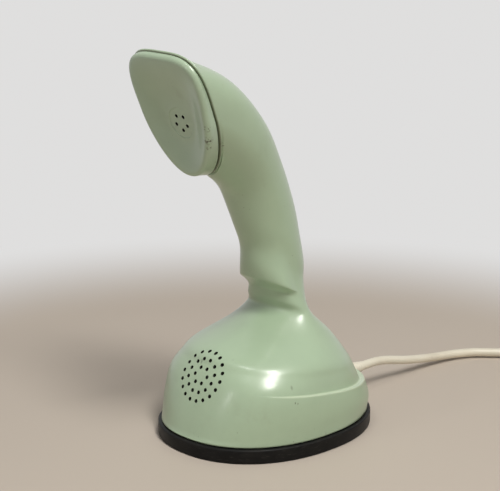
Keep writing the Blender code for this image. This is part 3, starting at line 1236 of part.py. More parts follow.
def make_switch(parent, finishes):
    span, thick = BRACKET_HALF_SPAN, BRACKET_THICKNESS
    foot = BRIDGE_TOP + GAP
    right = [(span + BRACKET_FOOT, foot), (span + BRACKET_FOOT, foot + thick), (span, foot + thick),
             (span, BRACKET_TOP)]
    inner = [(span - thick, BRACKET_BOTTOM), (span - thick, foot)]
    outline = right + [(-x, z) for x, z in right[::-1]] + [(-x, z) for x, z in inner[::-1]] + inner
    bracket = place(plate("switch_bracket", outline, -BRACKET_WIDTH / 2, BRACKET_WIDTH / 2),
                    finishes["steel"], parent, turn=UPRIGHT)
    ears = bmesh.new()
    gap = LEVER_WIDTH / 2 + RUN_GAP
    for side in (-1, 1):
        near, far = sorted((side * gap, side * (gap + thick)))
        add_box(ears, (-LEVER_ARM - EAR_WIDTH / 2, near, BRACKET_TOP - thick / 2),
                (-LEVER_ARM + EAR_WIDTH / 2, far, BRACKET_TOP + EAR_HEIGHT))
    apply_tool(bracket, mesh_object("lever_ear_shape", ears), "UNION", finishes["steel"], parent)
    bores = bmesh.new()
    add_rod(bores, ROD_TIP_RADIUS + RUN_GAP, BRACKET_BOTTOM - OVERRUN, BRACKET_TOP + OVERRUN)
    apply_tool(bracket, mesh_object("rod_bore_cutter", bores), "DIFFERENCE", finishes["steel"], parent)
    bores = bmesh.new()
    reach = gap + thick + OVERRUN
    add_rod(bores, PIN_RADIUS + GAP, -reach, reach)
    pivot = (-LEVER_ARM, 0, LEVER_PIVOT_Z)
    apply_tool(bracket, mesh_object("pin_bore_cutter", bores), "DIFFERENCE", finishes["steel"], parent,
               pivot, UPRIGHT)
    half = LEVER_THICKNESS / 2
    cut = math.asin(half / LEVER_HUB_RADIUS)
    hub = [cut + (math.pi - 2 * cut) * k / HUB_STEPS for k in range(HUB_STEPS + 1)]
    upper = [(LEVER_HUB_RADIUS * math.cos(a), LEVER_HUB_RADIUS * math.sin(a)) for a in hub]
    lower = [(-x, -z) for x, z in upper]
    tip = LEVER_ARM + LEVER_NOSE
    side = [(tip, -half), (tip, half), *upper, (-LEVER_TAIL, half), (-LEVER_TAIL, -half), *lower]
    lever = plate("switch_lever", side, -LEVER_WIDTH / 2, LEVER_WIDTH / 2,
                  [circle(PIN_RADIUS + GAP, ROD_SIDES)])
    place(lever, finishes["brass"], parent, pivot, Matrix.Rotation(-LEVER_HALF_SWING, 4, "Y") @ UPRIGHT)
    bm = bmesh.new()
    add_rod(bm, PIN_RADIUS, -gap - thick, gap + thick)
    place(mesh_object("lever_pin", bm), finishes["steel"], parent, pivot, UPRIGHT)
    make_contact_stack(parent, finishes)


def make_contact_stack(parent, finishes):
    # Insulator on the bracket's left leg, with two leaves over the lever's tail.
    right = -BRACKET_HALF_SPAN - GAP
    rise = LEVER_TAIL * math.sin(LEVER_HALF_SWING) + LEVER_THICKNESS
    leaf = LEVER_PIVOT_Z + rise
    top = leaf - GAP
    block = box("switch_block", (right - STACK_LENGTH, -STACK_WIDTH / 2, BRACKET_BOTTOM - STACK_BASE_HEIGHT),
                (right, STACK_WIDTH / 2, top))
    place(block, finishes["black"], parent)
    for k, name in enumerate(("switch_contact_lower", "switch_contact_upper")):
        low = leaf + k * (LEAF_THICKNESS + GAP)
        tip = right - STACK_LENGTH + STACK_LEAF - k * LEAF_THICKNESS
        place(box(name, (right - STACK_LENGTH, -STACK_WIDTH / 3, low),
                  (tip, STACK_WIDTH / 3, low + LEAF_THICKNESS)), finishes["brass"], parent)


# Speech network

def make_network(parent, finishes):
    back = BOARD_Y + BOARD_THICKNESS
    place(box("network_board", (-BOARD_HALF_WIDTH, BOARD_Y, BOARD_BOTTOM),
              (BOARD_HALF_WIDTH, back, BOARD_TOP)), finishes["board"], parent)
    near = BOARD_Y - GAP - BOARD_BRACKET_THICKNESS
    foot = PLATE_TOP + GAP
    far, top = near + BOARD_BRACKET_THICKNESS, foot + BOARD_BRACKET_HEIGHT
    side = [(near, foot), (far + BOARD_BRACKET_FOOT, foot),
            (far + BOARD_BRACKET_FOOT, foot + BOARD_BRACKET_THICKNESS),
            (far, foot + BOARD_BRACKET_THICKNESS), (far, top), (near, top)]
    loops = [[(x, y, z) for y, z in side] for x in (-BOARD_BRACKET_HALF_WIDTH, BOARD_BRACKET_HALF_WIDTH)]
    place(loft("board_bracket", loops), finishes["steel"], parent)
    front = BOARD_Y - GAP
    x, z = TRANSFORMER_X, TRANSFORMER_BOTTOM
    place(box("induction_coil", (x - TRANSFORMER_WIDTH / 2, front - TRANSFORMER_DEPTH, max(z, top + GAP)),
              (x + TRANSFORMER_WIDTH / 2, front, z + TRANSFORMER_HEIGHT)), finishes["board"], parent)
    can = bmesh.new()
    add_rod(can, CAPACITOR_RADIUS, -CAPACITOR_LENGTH / 2, CAPACITOR_LENGTH / 2, sides=ROUND_SIDES)
    place(mesh_object("speech_capacitor", can), finishes["aluminium"], parent,
          (CAPACITOR_X, front - CAPACITOR_RADIUS, CAPACITOR_Z), Matrix.Rotation(math.pi / 2, 4, "Y"))
    near = back + GAP
    block = box("terminal_block", (TERMINAL_X - TERMINAL_WIDTH / 2, near, TERMINAL_Z - TERMINAL_HEIGHT / 2),
                (TERMINAL_X + TERMINAL_WIDTH / 2, near + TERMINAL_DEPTH, TERMINAL_Z + TERMINAL_HEIGHT / 2))
    place(block, finishes["black"], parent)


# Cord

def make_cord_entry(parent, finishes):
    inner = skin_spot_behind(CORD_EXIT_Z + RELIEF_FLANGE_RADIUS)[1] - 2 * RUN_GAP
    outer = skin_spot_behind(CORD_EXIT_Z - RELIEF_FLANGE_RADIUS)[0] + RUN_GAP
    neck = CORD_HOLE_RADIUS - GAP
    tip = outer + RELIEF_LENGTH
    profile = [(0, inner - RELIEF_FLANGE), (RELIEF_FLANGE_RADIUS, inner - RELIEF_FLANGE),
               (RELIEF_FLANGE_RADIUS, inner), (neck, inner), (neck, outer), (RELIEF_FLANGE_RADIUS, outer),
               (RELIEF_FLANGE_RADIUS, outer + RELIEF_FLANGE),
               (RELIEF_ROOT_RADIUS, outer + 2 * RELIEF_FLANGE), (RELIEF_TIP_RADIUS, tip), (0, tip)]
    place(turned("cord_strain_relief", profile), finishes["cream"], parent, (0, 0, CORD_EXIT_Z), TO_BACK)
    back = inner - RELIEF_FLANGE - GAP
    tail = bmesh.new()
    add_rod(tail, CORD_RADIUS, back - CORD_TAIL_LENGTH, back)
    place(mesh_object("cord_inner_end", tail), finishes["cream"], parent, (0, 0, CORD_EXIT_Z), TO_BACK)
    rear = back - SADDLE_SETBACK
    outline = [(-SADDLE_WIDTH / 2, PLATE_TOP + GAP), (SADDLE_WIDTH / 2, PLATE_TOP + GAP)]
    reach = SADDLE_WIDTH / 2
    outline += [(x, z + CORD_EXIT_Z) for x, z in circle(reach, SADDLE_SIDES)[:SADDLE_SIDES // 2 + 1]]
    saddle = plate("cord_clamp", outline, -rear, -rear + SADDLE_LENGTH,
                   [circle(CORD_RADIUS + GAP, ROD_SIDES, (0, CORD_EXIT_Z))])
    place(saddle, finishes["black"], parent, turn=UPRIGHT)
    return tip + GAP


def cord_points(start):
    coil = coil_points()
    lead = coil[0] + (coil[0] - coil[1]).normalized() * GAP
    route = [Vector((0, start, CORD_EXIT_Z)), *[Vector(p) for p in CORD_ROUTE], lead]
    return smooth_path(route, CORD_STEP)


def coil_point(turns, radius, z):
    angle = COIL_START_ANGLE - math.tau * turns
    return Vector((COIL_CENTRE_X + radius * math.cos(angle), COIL_CENTRE_Y + radius * math.sin(angle), z))


COIL_OUTER_RADIUS = COIL_INNER_RADIUS + COIL_TURNS_IN_LAYER * COIL_TURN_PITCH
LOW_LAYER = TABLE_GAP + TIE_THICKNESS + GAP + CORD_RADIUS
HIGH_LAYER = LOW_LAYER + COIL_LAYER_PITCH
COIL_TOP = HIGH_LAYER + CORD_RADIUS


def coil_points():
    # In along the lower layer, up a layer, out along the upper one, then
    # over the top to the plug.
    turns = COIL_TURNS_IN_LAYER
    heading = coil_point(0, COIL_OUTER_RADIUS, LOW_LAYER)
    after = coil_point(SLOPE_STEP, COIL_OUTER_RADIUS, LOW_LAYER)
    points = [heading - (after - heading).normalized() * CORD_RADIUS * 2]
    end = 2 * turns + COIL_CLIMB_TURN
    for i in range(round(end * COIL_STEPS) + 1):
        u = i / COIL_STEPS
        if u < turns:
            points.append(coil_point(u, COIL_OUTER_RADIUS - COIL_TURN_PITCH * u, LOW_LAYER))
        elif u < turns + COIL_CLIMB_TURN:
            part = (u - turns) / COIL_CLIMB_TURN
            radius = COIL_INNER_RADIUS - COIL_CLIMB_DRAW_IN * math.sin(math.pi * part)
            points.append(coil_point(u, radius, LOW_LAYER + COIL_LAYER_PITCH * smooth_step(part)))
        else:
            radius = COIL_INNER_RADIUS + COIL_TURN_PITCH * (u - turns - COIL_CLIMB_TURN)
            points.append(coil_point(u, radius, HIGH_LAYER))
    rise = round(COIL_RISE_TURN * COIL_STEPS)
    for i in range(1, rise + 1):
        lift = COIL_LAYER_PITCH * smooth_step(i / rise)
        radius = COIL_OUTER_RADIUS + COIL_TURN_PITCH * i / COIL_STEPS
        points.append(coil_point(end + i / COIL_STEPS, radius, HIGH_LAYER + lift))
    frame, plug_z = plug_frame()
    for i in range(1, COIL_TAIL_STEPS + 1):
        angle = math.pi / 2 * i / COIL_TAIL_STEPS
        spot = frame @ Vector((COIL_TAIL_RADIUS * math.cos(angle), -COIL_TAIL_RADIUS * math.sin(angle), 0))
        lift = (plug_z - HIGH_LAYER - COIL_LAYER_PITCH) * smooth_step(i / COIL_TAIL_STEPS)
        points.append(Vector((spot.x, spot.y, HIGH_LAYER + COIL_LAYER_PITCH + lift)))
    last = points[-1]
    points.append(last + (frame.to_3x3() @ Vector((-1, 0, 0))) * CORD_RADIUS * 2)
    return points


def plug_frame():
    # Axes at the centre of the tail's bend: X towards its start, Z up.
    rise = round(COIL_RISE_TURN * COIL_STEPS) / COIL_STEPS
    end = 2 * COIL_TURNS_IN_LAYER + COIL_CLIMB_TURN + rise
    angle = COIL_START_ANGLE - math.tau * end
    centre = coil_point(end, COIL_OUTER_RADIUS + COIL_TURN_PITCH * rise - COIL_TAIL_RADIUS, 0)
    return (Matrix.Translation(centre) @ Matrix.Rotation(angle, 4, "Z"),
            COIL_TOP + GAP + PLUG_HEIGHT / 2)


def least_gap(points, radius):
    # Between stretches of the coil that aren't neighbours along it.
    spots = np.array([tuple(p) for p in points])
    least = math.inf
    for i in range(len(spots) - 1):
        a, b = spots[i], spots[i + 1]
        near = COIL_NEAR_STEPS
        others = np.vstack([spots[:max(i - near + 1, 0)], spots[i + near + 1:]])
        if len(others):
            along = np.clip((others - a) @ (b - a) / ((b - a) @ (b - a)), 0, 1)
            least = min(least, np.linalg.norm(others - a - along[:, None] * (b - a), axis=1).min())
    return least - 2 * radius


def path_length(points):
    return sum((b - a).length for a, b in zip(points, points[1:]))


def make_cord(parent, finishes, start):
    free = cord_points(start)
    coil = coil_points()
    place(tube("line_cord", free, CORD_RADIUS), finishes["cream"], parent)
    place(tube("line_cord_coil", coil, CORD_RADIUS, 1), finishes["cream"], parent)
    print(f"cord: free {path_length(free) * 1000:.1f} mm, coil {path_length(coil) * 1000:.1f} mm, "
          f"least gap {least_gap(coil, CORD_RADIUS) * 1000:.2f} mm")
    inner = COIL_INNER_RADIUS - COIL_CLIMB_DRAW_IN - CORD_RADIUS - GAP
    outer = COIL_OUTER_RADIUS + CORD_RADIUS + GAP
    width, height = outer - inner, COIL_TOP - LOW_LAYER + CORD_RADIUS + 2 * GAP
    thick = TIE_THICKNESS
    strap = plate("cord_tie", rounded_rectangle(width + 2 * thick, height + 2 * thick, CORD_RADIUS + thick),
                  -TIE_WIDTH / 2, TIE_WIDTH / 2, [rounded_rectangle(width, height, CORD_RADIUS)])
    middle = Vector((COIL_CENTRE_X, COIL_CENTRE_Y, TABLE_GAP + thick + height / 2))
    turn = Matrix.Rotation(TIE_ANGLE, 4, "Z")
    place(strap, finishes["cream"], parent,
          middle + turn @ Vector(((inner + outer) / 2, 0, 0)), turn @ UPRIGHT)
    make_plug(parent, finishes)


def make_plug(parent, finishes):
    frame, z = plug_frame()
    start = Matrix.Translation((-2 * CORD_RADIUS - GAP, -COIL_TAIL_RADIUS, z))
    axis = frame @ start @ Matrix.Rotation(-math.pi / 2, 4, "Y")
    outline = rounded_rectangle(PLUG_HEIGHT, PLUG_WIDTH, PLUG_CORNER)
    loops = []
    for share, along in PLUG_NECK_SHARES:
        loops.append([(x * share, y * share, PLUG_NECK_LENGTH * along) for x, y in outline])
    loops.append([(x, y, PLUG_NECK_LENGTH + PLUG_CORNER / 2) for x, y in outline])
    loops.append([(x, y, PLUG_LENGTH - PLUG_CORNER / 4) for x, y in outline])
    loops.append([(x * PLUG_TIP_SHARE, y * PLUG_TIP_SHARE, PLUG_LENGTH) for x, y in outline])
    body = place(loft("plug_body", loops), finishes["cream"], parent, turn=axis)
    sockets = bmesh.new()
    middle = (PLUG_PIN_COUNT - 1) / 2
    depth = PLUG_PIN_RADIUS * 2
    for k in range(PLUG_PIN_COUNT):
        y = (k - middle) * PLUG_PIN_SPACING
        add_rod(sockets, PLUG_PIN_RADIUS + GAP, PLUG_LENGTH - depth, PLUG_LENGTH + OVERRUN, (0, y))
        low, end = PLUG_LENGTH - depth + GAP, PLUG_LENGTH + PLUG_PIN_LENGTH
        profile = [(0, low), (PLUG_PIN_RADIUS, low), (PLUG_PIN_RADIUS, end - PLUG_PIN_RADIUS / 2),
                   (PLUG_PIN_RADIUS / 2, end), (0, end)]
        pin = turned(f"plug_pin_{k + 1}", profile, ROD_SIDES)
        place(pin, finishes["brass"], parent, turn=axis @ Matrix.Translation((0, y, 0)))
    cutter = mesh_object("pin_socket_cutter", sockets)
    apply_tool(body, cutter, "DIFFERENCE", finishes["cream"], parent, turn=axis)


def origin_shift():
    # The object without its cord stands with its box centred on the origin.
    frame = face_frame()
    foremost = min((frame @ p).y for p in cap_loop(0.0, CAP_RIM_RADIUS) + cap_loop(CAP_RIM_RADIUS, 0.0)
                   + cap_loop(CAP_RIM_RADIUS * (1 - math.sin(math.pi / 4)),
                              CAP_RIM_RADIUS * (1 - math.cos(math.pi / 4))))
    return -(foremost + BASE_LENGTH / 2) / 2


def main():
    start_clean()
    finishes = {
        "mint": finish("mint_plastic", (0.53, 0.63, 0.50), 0.28),
        "mint_cap": finish("mint_cap_plastic", (0.55, 0.65, 0.52), 0.30),
        "ivory": finish("ivory_plastic", (0.78, 0.76, 0.68), 0.35),
        "black": finish("black_plastic", (0.03, 0.03, 0.03), 0.40),
        "rubber": finish("black_rubber", (0.02, 0.02, 0.02), 0.75),
        "cream": finish("cream_cord", (0.72, 0.68, 0.56), 0.50),
        "red": finish("red_wire", (0.45, 0.05, 0.04), 0.45),
        "steel": finish("zinc_steel", (0.55, 0.55, 0.53), 0.40, 1.0),
        "spring_steel": finish("blued_spring_steel", (0.25, 0.27, 0.32), 0.35, 1.0),
        "chrome": finish("chrome", (0.80, 0.80, 0.80), 0.12, 1.0),
        "brass": finish("brass", (0.72, 0.55, 0.25), 0.35, 1.0),
        "aluminium": finish("aluminium", (0.75, 0.75, 0.76), 0.40, 1.0),
        "board": finish("brown_board", (0.28, 0.16, 0.07), 0.60),
    }
    shift = origin_shift()
    frame = bpy.data.objects.new("telephone_frame", None)
    bpy.context.scene.collection.objects.link(frame)
    frame.location = (0, shift, 0)
    print(f"origin shift {shift * 1000:.3f} mm")
    make_base(frame, finishes)
    make_housing(frame, finishes["mint"])
    face = face_frame()
    make_receiver_cap(frame, finishes["mint_cap"], face)
    make_receiver_parts(frame, face, finishes)
    make_lead(frame, face, finishes)
    make_mouthpiece(frame, finishes)
    make_dial_frame(frame, finishes)
    make_finger_stop(frame, finishes)
    make_return_spring(frame, finishes)
    make_arbors(frame, finishes)
    make_pulse_contacts(frame, finishes)
    make_finger_wheel(frame, finishes)
    make_dial_shaft(frame, finishes)
    make_plunger(frame, finishes)
    make_switch(frame, finishes)
    make_network(frame, finishes)
    start = make_cord_entry(frame, finishes)
    make_cord(frame, finishes, start)


main()
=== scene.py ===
import json
import math

import bmesh
import bpy
import numpy as np
from mathutils import Matrix, Vector

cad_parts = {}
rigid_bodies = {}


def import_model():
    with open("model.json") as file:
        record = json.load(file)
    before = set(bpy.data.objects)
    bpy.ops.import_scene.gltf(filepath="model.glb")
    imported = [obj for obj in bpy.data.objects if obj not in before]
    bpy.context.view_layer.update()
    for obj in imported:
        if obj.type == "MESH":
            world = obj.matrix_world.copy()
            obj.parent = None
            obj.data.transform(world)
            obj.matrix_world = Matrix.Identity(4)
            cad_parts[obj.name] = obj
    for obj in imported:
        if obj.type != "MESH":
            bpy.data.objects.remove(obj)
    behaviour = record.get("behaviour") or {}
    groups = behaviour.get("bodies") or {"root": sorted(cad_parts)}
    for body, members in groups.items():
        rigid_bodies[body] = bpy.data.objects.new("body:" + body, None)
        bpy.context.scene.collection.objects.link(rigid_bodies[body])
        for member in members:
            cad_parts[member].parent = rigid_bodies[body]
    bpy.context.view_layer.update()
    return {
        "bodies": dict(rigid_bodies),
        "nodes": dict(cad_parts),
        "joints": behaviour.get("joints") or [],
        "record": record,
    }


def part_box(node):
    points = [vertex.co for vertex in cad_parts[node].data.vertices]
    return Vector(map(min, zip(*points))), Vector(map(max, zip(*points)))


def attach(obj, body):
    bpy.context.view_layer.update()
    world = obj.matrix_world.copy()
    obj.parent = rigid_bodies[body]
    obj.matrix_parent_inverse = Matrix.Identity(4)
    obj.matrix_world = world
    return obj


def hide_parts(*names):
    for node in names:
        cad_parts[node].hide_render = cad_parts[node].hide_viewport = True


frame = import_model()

mm = 0.001
nodes = frame["nodes"]
ringLow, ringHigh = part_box("base_ring")
midY = (ringLow.y + ringHigh.y) / 2      # shapes are worked out about the dial's axis and end up here
print("stage: frame loaded,", len(nodes), "CAD nodes")


def linked(obj):
    # The object in the scene, put there if it isn't yet.
    known = bpy.context.scene.collection.objects
    if obj.name not in known:
        known.link(obj)
    return obj


def inMm(**sizes):
    # Sizes typed in millimetres, as metres; in a tuple, each of its numbers.
    return {name: tuple(v * mm for v in size) if isinstance(size, tuple) else size * mm
            for name, size in sizes.items()}


def polar(radius, angle, centre=(0, 0)):
    return centre[0] + radius * math.cos(angle), centre[1] + radius * math.sin(angle)


def quarter(steps, first=0):
    # Over a quarter turn: each step's sine, and one less its cosine.
    turns = [math.pi / 2 * k / steps for k in range(first, steps + 1)]
    return [(math.sin(a), 1 - math.cos(a)) for a in turns]


# Camera at the photograph's angle

camera = {
    "azimuth": math.radians(46.4),
    "pitch": math.radians(15.0),
    "distance": 978.6 * mm,
    "focalPixels": 1627.0,               # for a frame 500 pixels wide
    "footX": 15.15,                      # where the dial's axis meets the table, from the frame's middle
    "footY": -178.6,
    "sensor": 36.0,
}


def makeCamera(spec):
    a, pitch = spec["azimuth"], spec["pitch"]
    right = Vector((math.cos(a), math.sin(a), 0))
    level = Vector((-math.sin(a), math.cos(a), 0))
    ahead = level * math.cos(pitch) - Vector((0, 0, math.sin(pitch)))
    up = level * math.sin(pitch) + Vector((0, 0, math.cos(pitch)))
    perPixel = spec["distance"] / spec["focalPixels"]
    spot = Vector((0, midY, 0)) - ahead * spec["distance"]
    spot -= (right * spec["footX"] + up * spec["footY"]) * perPixel
    data = bpy.data.cameras.new("photoCamera")
    data.sensor_width = spec["sensor"]
    data.lens = spec["sensor"] * spec["focalPixels"] / 500
    data.clip_end = 20.0
    made = bpy.data.objects.new("photoCamera", data)
    made.matrix_world = Matrix.Translation(spot) @ Matrix((right, up, -ahead)).transposed().to_4x4()
    linked(made)
    bpy.context.scene.camera = made


makeCamera(camera)
print("stage: camera")


# Node trees, for materials and for geometry

class Wire:
    # One output of a node, used in sums like a number.
    def __init__(self, tree, socket):
        self.tree, self.socket = tree, socket

    def maths(self, operation, *values):
        return self.tree.node("ShaderNodeMath", dict(enumerate(values)), operation=operation)

    def __add__(self, other):
        return self.maths("ADD", self, other)

    def __radd__(self, other):
        return self.maths("ADD", other, self)

    def __sub__(self, other):
        return self.maths("SUBTRACT", self, other)

    def __rsub__(self, other):
        return self.maths("SUBTRACT", other, self)

    def __mul__(self, other):
        return self.maths("MULTIPLY", self, other)

    def __truediv__(self, other):
        return self.maths("DIVIDE", self, other)

    def fade(self, low, high):
        # 0 at low, 1 at high, smooth between.
        return self.tree.node("ShaderNodeMapRange", {"Value": self, "From Min": low, "From Max": high},
                              interpolation_type="SMOOTHSTEP")


class Tree:
    # A node tree, with one method that makes every node.
    def __init__(self, nodeTree):
        self.nodeTree = nodeTree

    def node(self, kind, inputs=None, output=0, **settings):
        made = self.nodeTree.nodes.new(kind)
        for name, value in settings.items():
            setattr(made, name, value)
        for name, value in (inputs or {}).items():
            if isinstance(value, Wire):
                self.nodeTree.links.new(value.socket, made.inputs[name])
            else:
                made.inputs[name].default_value = value
        return None if output is None else Wire(self, made.outputs[output])


class Finish(Tree):
    # One material on Object coordinates.
    def __init__(self, name):
        self.material = bpy.data.materials.new(name)
        self.material.use_nodes = True
        super().__init__(self.material.node_tree)
        self.nodeTree.nodes.clear()

    def origin(self):
        return self.node("ShaderNodeTexCoord", output="Object")

    def spot(self, stretch=(1, 1, 1), turn=(0, 0, 0)):
        inputs = {"Vector": self.origin(), "Scale": stretch, "Rotation": turn}
        return self.node("ShaderNodeMapping", inputs)

    def along(self, axis):
        return self.node("ShaderNodeSeparateXYZ", {"Vector": self.origin()}, axis)

    def vectors(self, operation, first, second=(0, 0, 0), output=0):
        return self.node("ShaderNodeVectorMath", {0: first, 1: second}, output, operation=operation)

    def noise(self, scale, detail=3.0, rough=0.5, where=None):
        return self.node("ShaderNodeTexNoise", {"Vector": where or self.spot(), "Scale": scale,
                                                     "Detail": detail, "Roughness": rough})

    def specks(self, scale, where=None):
        # The distance to the nearest of many scattered spots.
        return self.node("ShaderNodeTexVoronoi", {"Vector": where or self.spot(), "Scale": scale})

    def near(self, spot, reach):
        # 1 at a spot of the piece, fading to 0 at its reach.
        return self.vectors("DISTANCE", self.origin(), spot, "Value").fade(reach, reach * 0.4)

    def plane(self, spot, normal):
        # The distance to a plane, above zero on either side.
        off = self.vectors("SUBTRACT", self.origin(), spot)
        side = self.vectors("DOT_PRODUCT", off, normal, "Value")
        return side.maths("ABSOLUTE", side)

    def mix(self, amount, first, second):
        inputs = {0: amount, 6: solid(first), 7: solid(second)}
        return self.node("ShaderNodeMix", inputs, 2, data_type="RGBA")

    def bump(self, height, depth, strength=1.0, before=None):
        inputs = {"Height": height, "Distance": depth, "Strength": strength}
        if before is not None:
            inputs["Normal"] = before
        return self.node("ShaderNodeBump", inputs)

    def surface(self, colour, **sockets):
        inputs = {"Base Color": solid(colour)}
        inputs.update({name.replace("_", " "): value for name, value in sockets.items()})
        shader = self.node("ShaderNodeBsdfPrincipled", inputs)
        self.node("ShaderNodeOutputMaterial", {"Surface": shader}, output=None)
        return self.material


def solid(colour):
    return colour if isinstance(colour, Wire) or len(colour) == 4 else (*colour, 1.0)


# Finishes

def mouldedPlastic(name, spec):
    # Glossy compression-moulded plastic: faint clouding, dull patches, dark rubbed specks, grime, a painted
    # highlight along the ledge and painted shade along the seam.
    f = Finish(name)
    cloud = f.noise(spec["cloudScale"], 4.0, 0.6).fade(0.35, 0.7)
    fine = f.noise(spec["cloudScale"] * 9, 3.0, 0.6).fade(0.4, 0.75)
    colour = f.mix(cloud * spec["cloudAmount"], spec["colour"], spec["cloudColour"])
    colour = f.mix(fine * 0.08, colour, spec["pale"])
    stretched = f.spot((1, 1, 0.28), (0.5, 0.3, 0.9))
    rubs = f.specks(spec["rubScale"], stretched).fade(0.11, 0.05)
    rubs = rubs * f.noise(38, 2.0, 0.5).fade(0.52, 0.62)
    dots = f.specks(spec["dotScale"]).fade(0.085, 0.03) * f.noise(24, 3.0, 0.6).fade(0.5, 0.64)
    marks = rubs * 0.4 + dots * 0.7
    colour = f.mix(marks, colour, spec["markColour"])
    crumbs = f.noise(520, 3.0, 0.6).fade(0.47, 0.60)
    for spot, reach in spec["dirtSpots"]:
        colour = f.mix(f.near([v * mm for v in spot], reach * mm) * crumbs * 0.8, colour, spec["dirtColour"])
    # painted highlight: a pale line along the top of the ledge, fading out towards the front
    ledge = f.plane([v * mm for v in spec["ledgeSpot"]], spec["ledgeNormal"]).fade(*spec["ledgeReach"])
    ledge = ledge * f.along(1).fade(*spec["ledgeSides"]) * (1.15 - f.noise(60, 3.0, 0.6) * 0.6)
    ledge = ledge * f.along(2).fade(*spec["ledgeTop"])
    colour = f.mix(ledge * spec["ledgeHighlightAmount"], colour, spec["ledgeHighlightColour"])
    # painted shade: a dark line along the seam between the cap and the housing, only high up at the head
    seam = f.plane([v * mm for v in spec["seamSpot"]], spec["seamNormal"]).fade(*spec["seamReach"])
    seam = seam * f.along(2).fade(*spec["seamHeights"])
    colour = f.mix(seam * spec["seamShadeAmount"], colour, spec["seamShadeColour"])
    grime = f.noise(90, 4.0, 0.65).fade(0.5, 0.8) * f.noise(16, 2.0, 0.5).fade(0.5, 0.7)
    colour = f.mix(grime * 0.22, colour, spec["grimeColour"])
    scratch = f.noise(420, 2.0, 0.5, f.spot((1, 1, 0.06), (1.1, 0.2, 0.4))).fade(0.55, 0.7)
    rough = cloud * 0.05 + fine * 0.02 + scratch * 0.012 + marks * 0.1 + spec["roughness"]
    bump = f.bump(f.noise(260, 2.0, 0.5), 0.012 * mm, 0.4)
    return f.surface(colour, Roughness=rough, Normal=bump, Coat_Weight=spec["coat"], Coat_Roughness=0.17)


mint = inMm(
    # the painted highlight line on the ledge and the painted shade along the cap's seam: a plane each, and
    # where they fade in
    ledgeReach=(0.85, 0.3), ledgeSides=(-34, -16), ledgeTop=(60, 50), seamReach=(0.55, 0.15),
    seamHeights=(156, 160),
) | {
    "colour": (0.405, 0.525, 0.362), "cloudColour": (0.350, 0.450, 0.305), "pale": (0.480, 0.590, 0.415),
    "markColour": (0.085, 0.080, 0.055), "grimeColour": (0.215, 0.205, 0.120), "cloudScale": 14.0,
    "cloudAmount": 0.45, "rubScale": 95.0, "dotScale": 210.0, "roughness": 0.285, "coat": 0.30,
    "dirtColour": (0.060, 0.045, 0.025), "ledgeHighlightColour": (0.640, 0.720, 0.540), "ledgeHighlightAmount": 0.65,
    "seamShadeColour": (0.110, 0.105, 0.055), "seamShadeAmount": 0.7,
    "dirtSpots": (((26, -61, 193), 2.6), ((24, -58, 186), 3.4), ((23, -57, 181.5), 2.2),
                  ((21.5, -46.5, 182), 2.0), ((50, -16, 33), 1.6)),
    "ledgeSpot": (0.0, -53.3 + midY / mm, 40.0), "ledgeNormal": (0.0, 0.1229, 0.9924),
    "seamSpot": (0.0, -62.18 + midY / mm, 196.76), "seamNormal": (0.0, -0.9011, -0.4337),
}
mintCap = dict(mint, colour=(0.410, 0.530, 0.375), rubScale=120.0)


def blackRubber(name):
    f = Finish(name)
    dust = f.noise(55, 5.0, 0.7).fade(0.42, 0.75)
    grain = f.noise(900, 2.0, 0.6)
    scuff = f.noise(240, 3.0, 0.6, f.spot((1, 1, 5))).fade(0.58, 0.72)
    colour = f.mix(dust * 0.25, (0.004, 0.004, 0.004), (0.030, 0.027, 0.022))
    colour = f.mix(scuff * 0.2, colour, (0.10, 0.09, 0.08))
    return f.surface(colour, Specular_IOR_Level=0.15, Roughness=0.42 + dust * 0.2 + scuff * 0.12,
                     Normal=f.bump(grain, 0.03 * mm, 0.5))


def dullPlastic(name, colour, aged, roughness=0.35):
    # Plain moulded plastic for the dial and the inside.
    f = Finish(name)
    cloud = f.noise(22, 4.0, 0.6).fade(0.35, 0.75)
    dirt = f.noise(130, 4.0, 0.7).fade(0.55, 0.8)
    tint = f.mix(cloud * 0.6, colour, aged)
    tint = f.mix(dirt * 0.25, tint, [c * 0.45 for c in aged])
    return f.surface(tint, Roughness=roughness + dirt * 0.2 + cloud * 0.06,
                     Normal=f.bump(f.noise(500, 2.0, 0.5), 0.015 * mm, 0.5), Coat_Weight=0.15)


def cordPlastic(name, colour, grime):
    # Soft cord sheath, with handling grime and a little waviness.
    f = Finish(name)
    cloud = f.noise(30, 4.0, 0.6).fade(0.35, 0.8)
    dirt = f.noise(150, 4.0, 0.7).fade(0.56, 0.78)
    tint = f.mix(cloud * 0.4 + dirt * 0.35, colour, grime)
    wave = f.noise(320, 2.0, 0.5)
    return f.surface(tint, Roughness=0.42 + dirt * 0.2, Normal=f.bump(wave, 0.04 * mm, 0.4))


def workedMetal(name, colour, tarnish, roughness, stretch=(1, 1, 1), tarnishAmount=0.5):
    # Plated or turned metal, with fine tool lines and tarnish.
    f = Finish(name)
    lines = f.noise(900, 2.0, 0.5, f.spot(stretch))
    blotch = f.noise(70, 5.0, 0.65).fade(0.42, 0.75)
    tint = f.mix(blotch * tarnishAmount, colour, tarnish)
    rough = roughness + blotch * 0.2 + lines * 0.08
    return f.surface(tint, Metallic=1.0, Roughness=rough, Normal=f.bump(lines, 0.01 * mm, 0.4))


def printedBoard(name):
    # Laminated paper board, with a faint weave.
    f = Finish(name)
    fibre = f.noise(800, 3.0, 0.6, f.spot((1, 1, 0.2)))
    cloud = f.noise(60, 4.0, 0.6).fade(0.35, 0.7)
    tint = f.mix(cloud * 0.5, (0.24, 0.13, 0.055), (0.15, 0.078, 0.035))
    return f.surface(tint, Roughness=0.45 + fibre * 0.2, Normal=f.bump(fibre, 0.02 * mm, 0.4))


def paint(name, colour):
    f = Finish(name)
    worn = f.noise(420, 3.0, 0.6).fade(0.55, 0.7)
    return f.surface(f.mix(worn * 0.3, colour, [c + 0.12 for c in colour]), Roughness=0.35 + worn * 0.2)


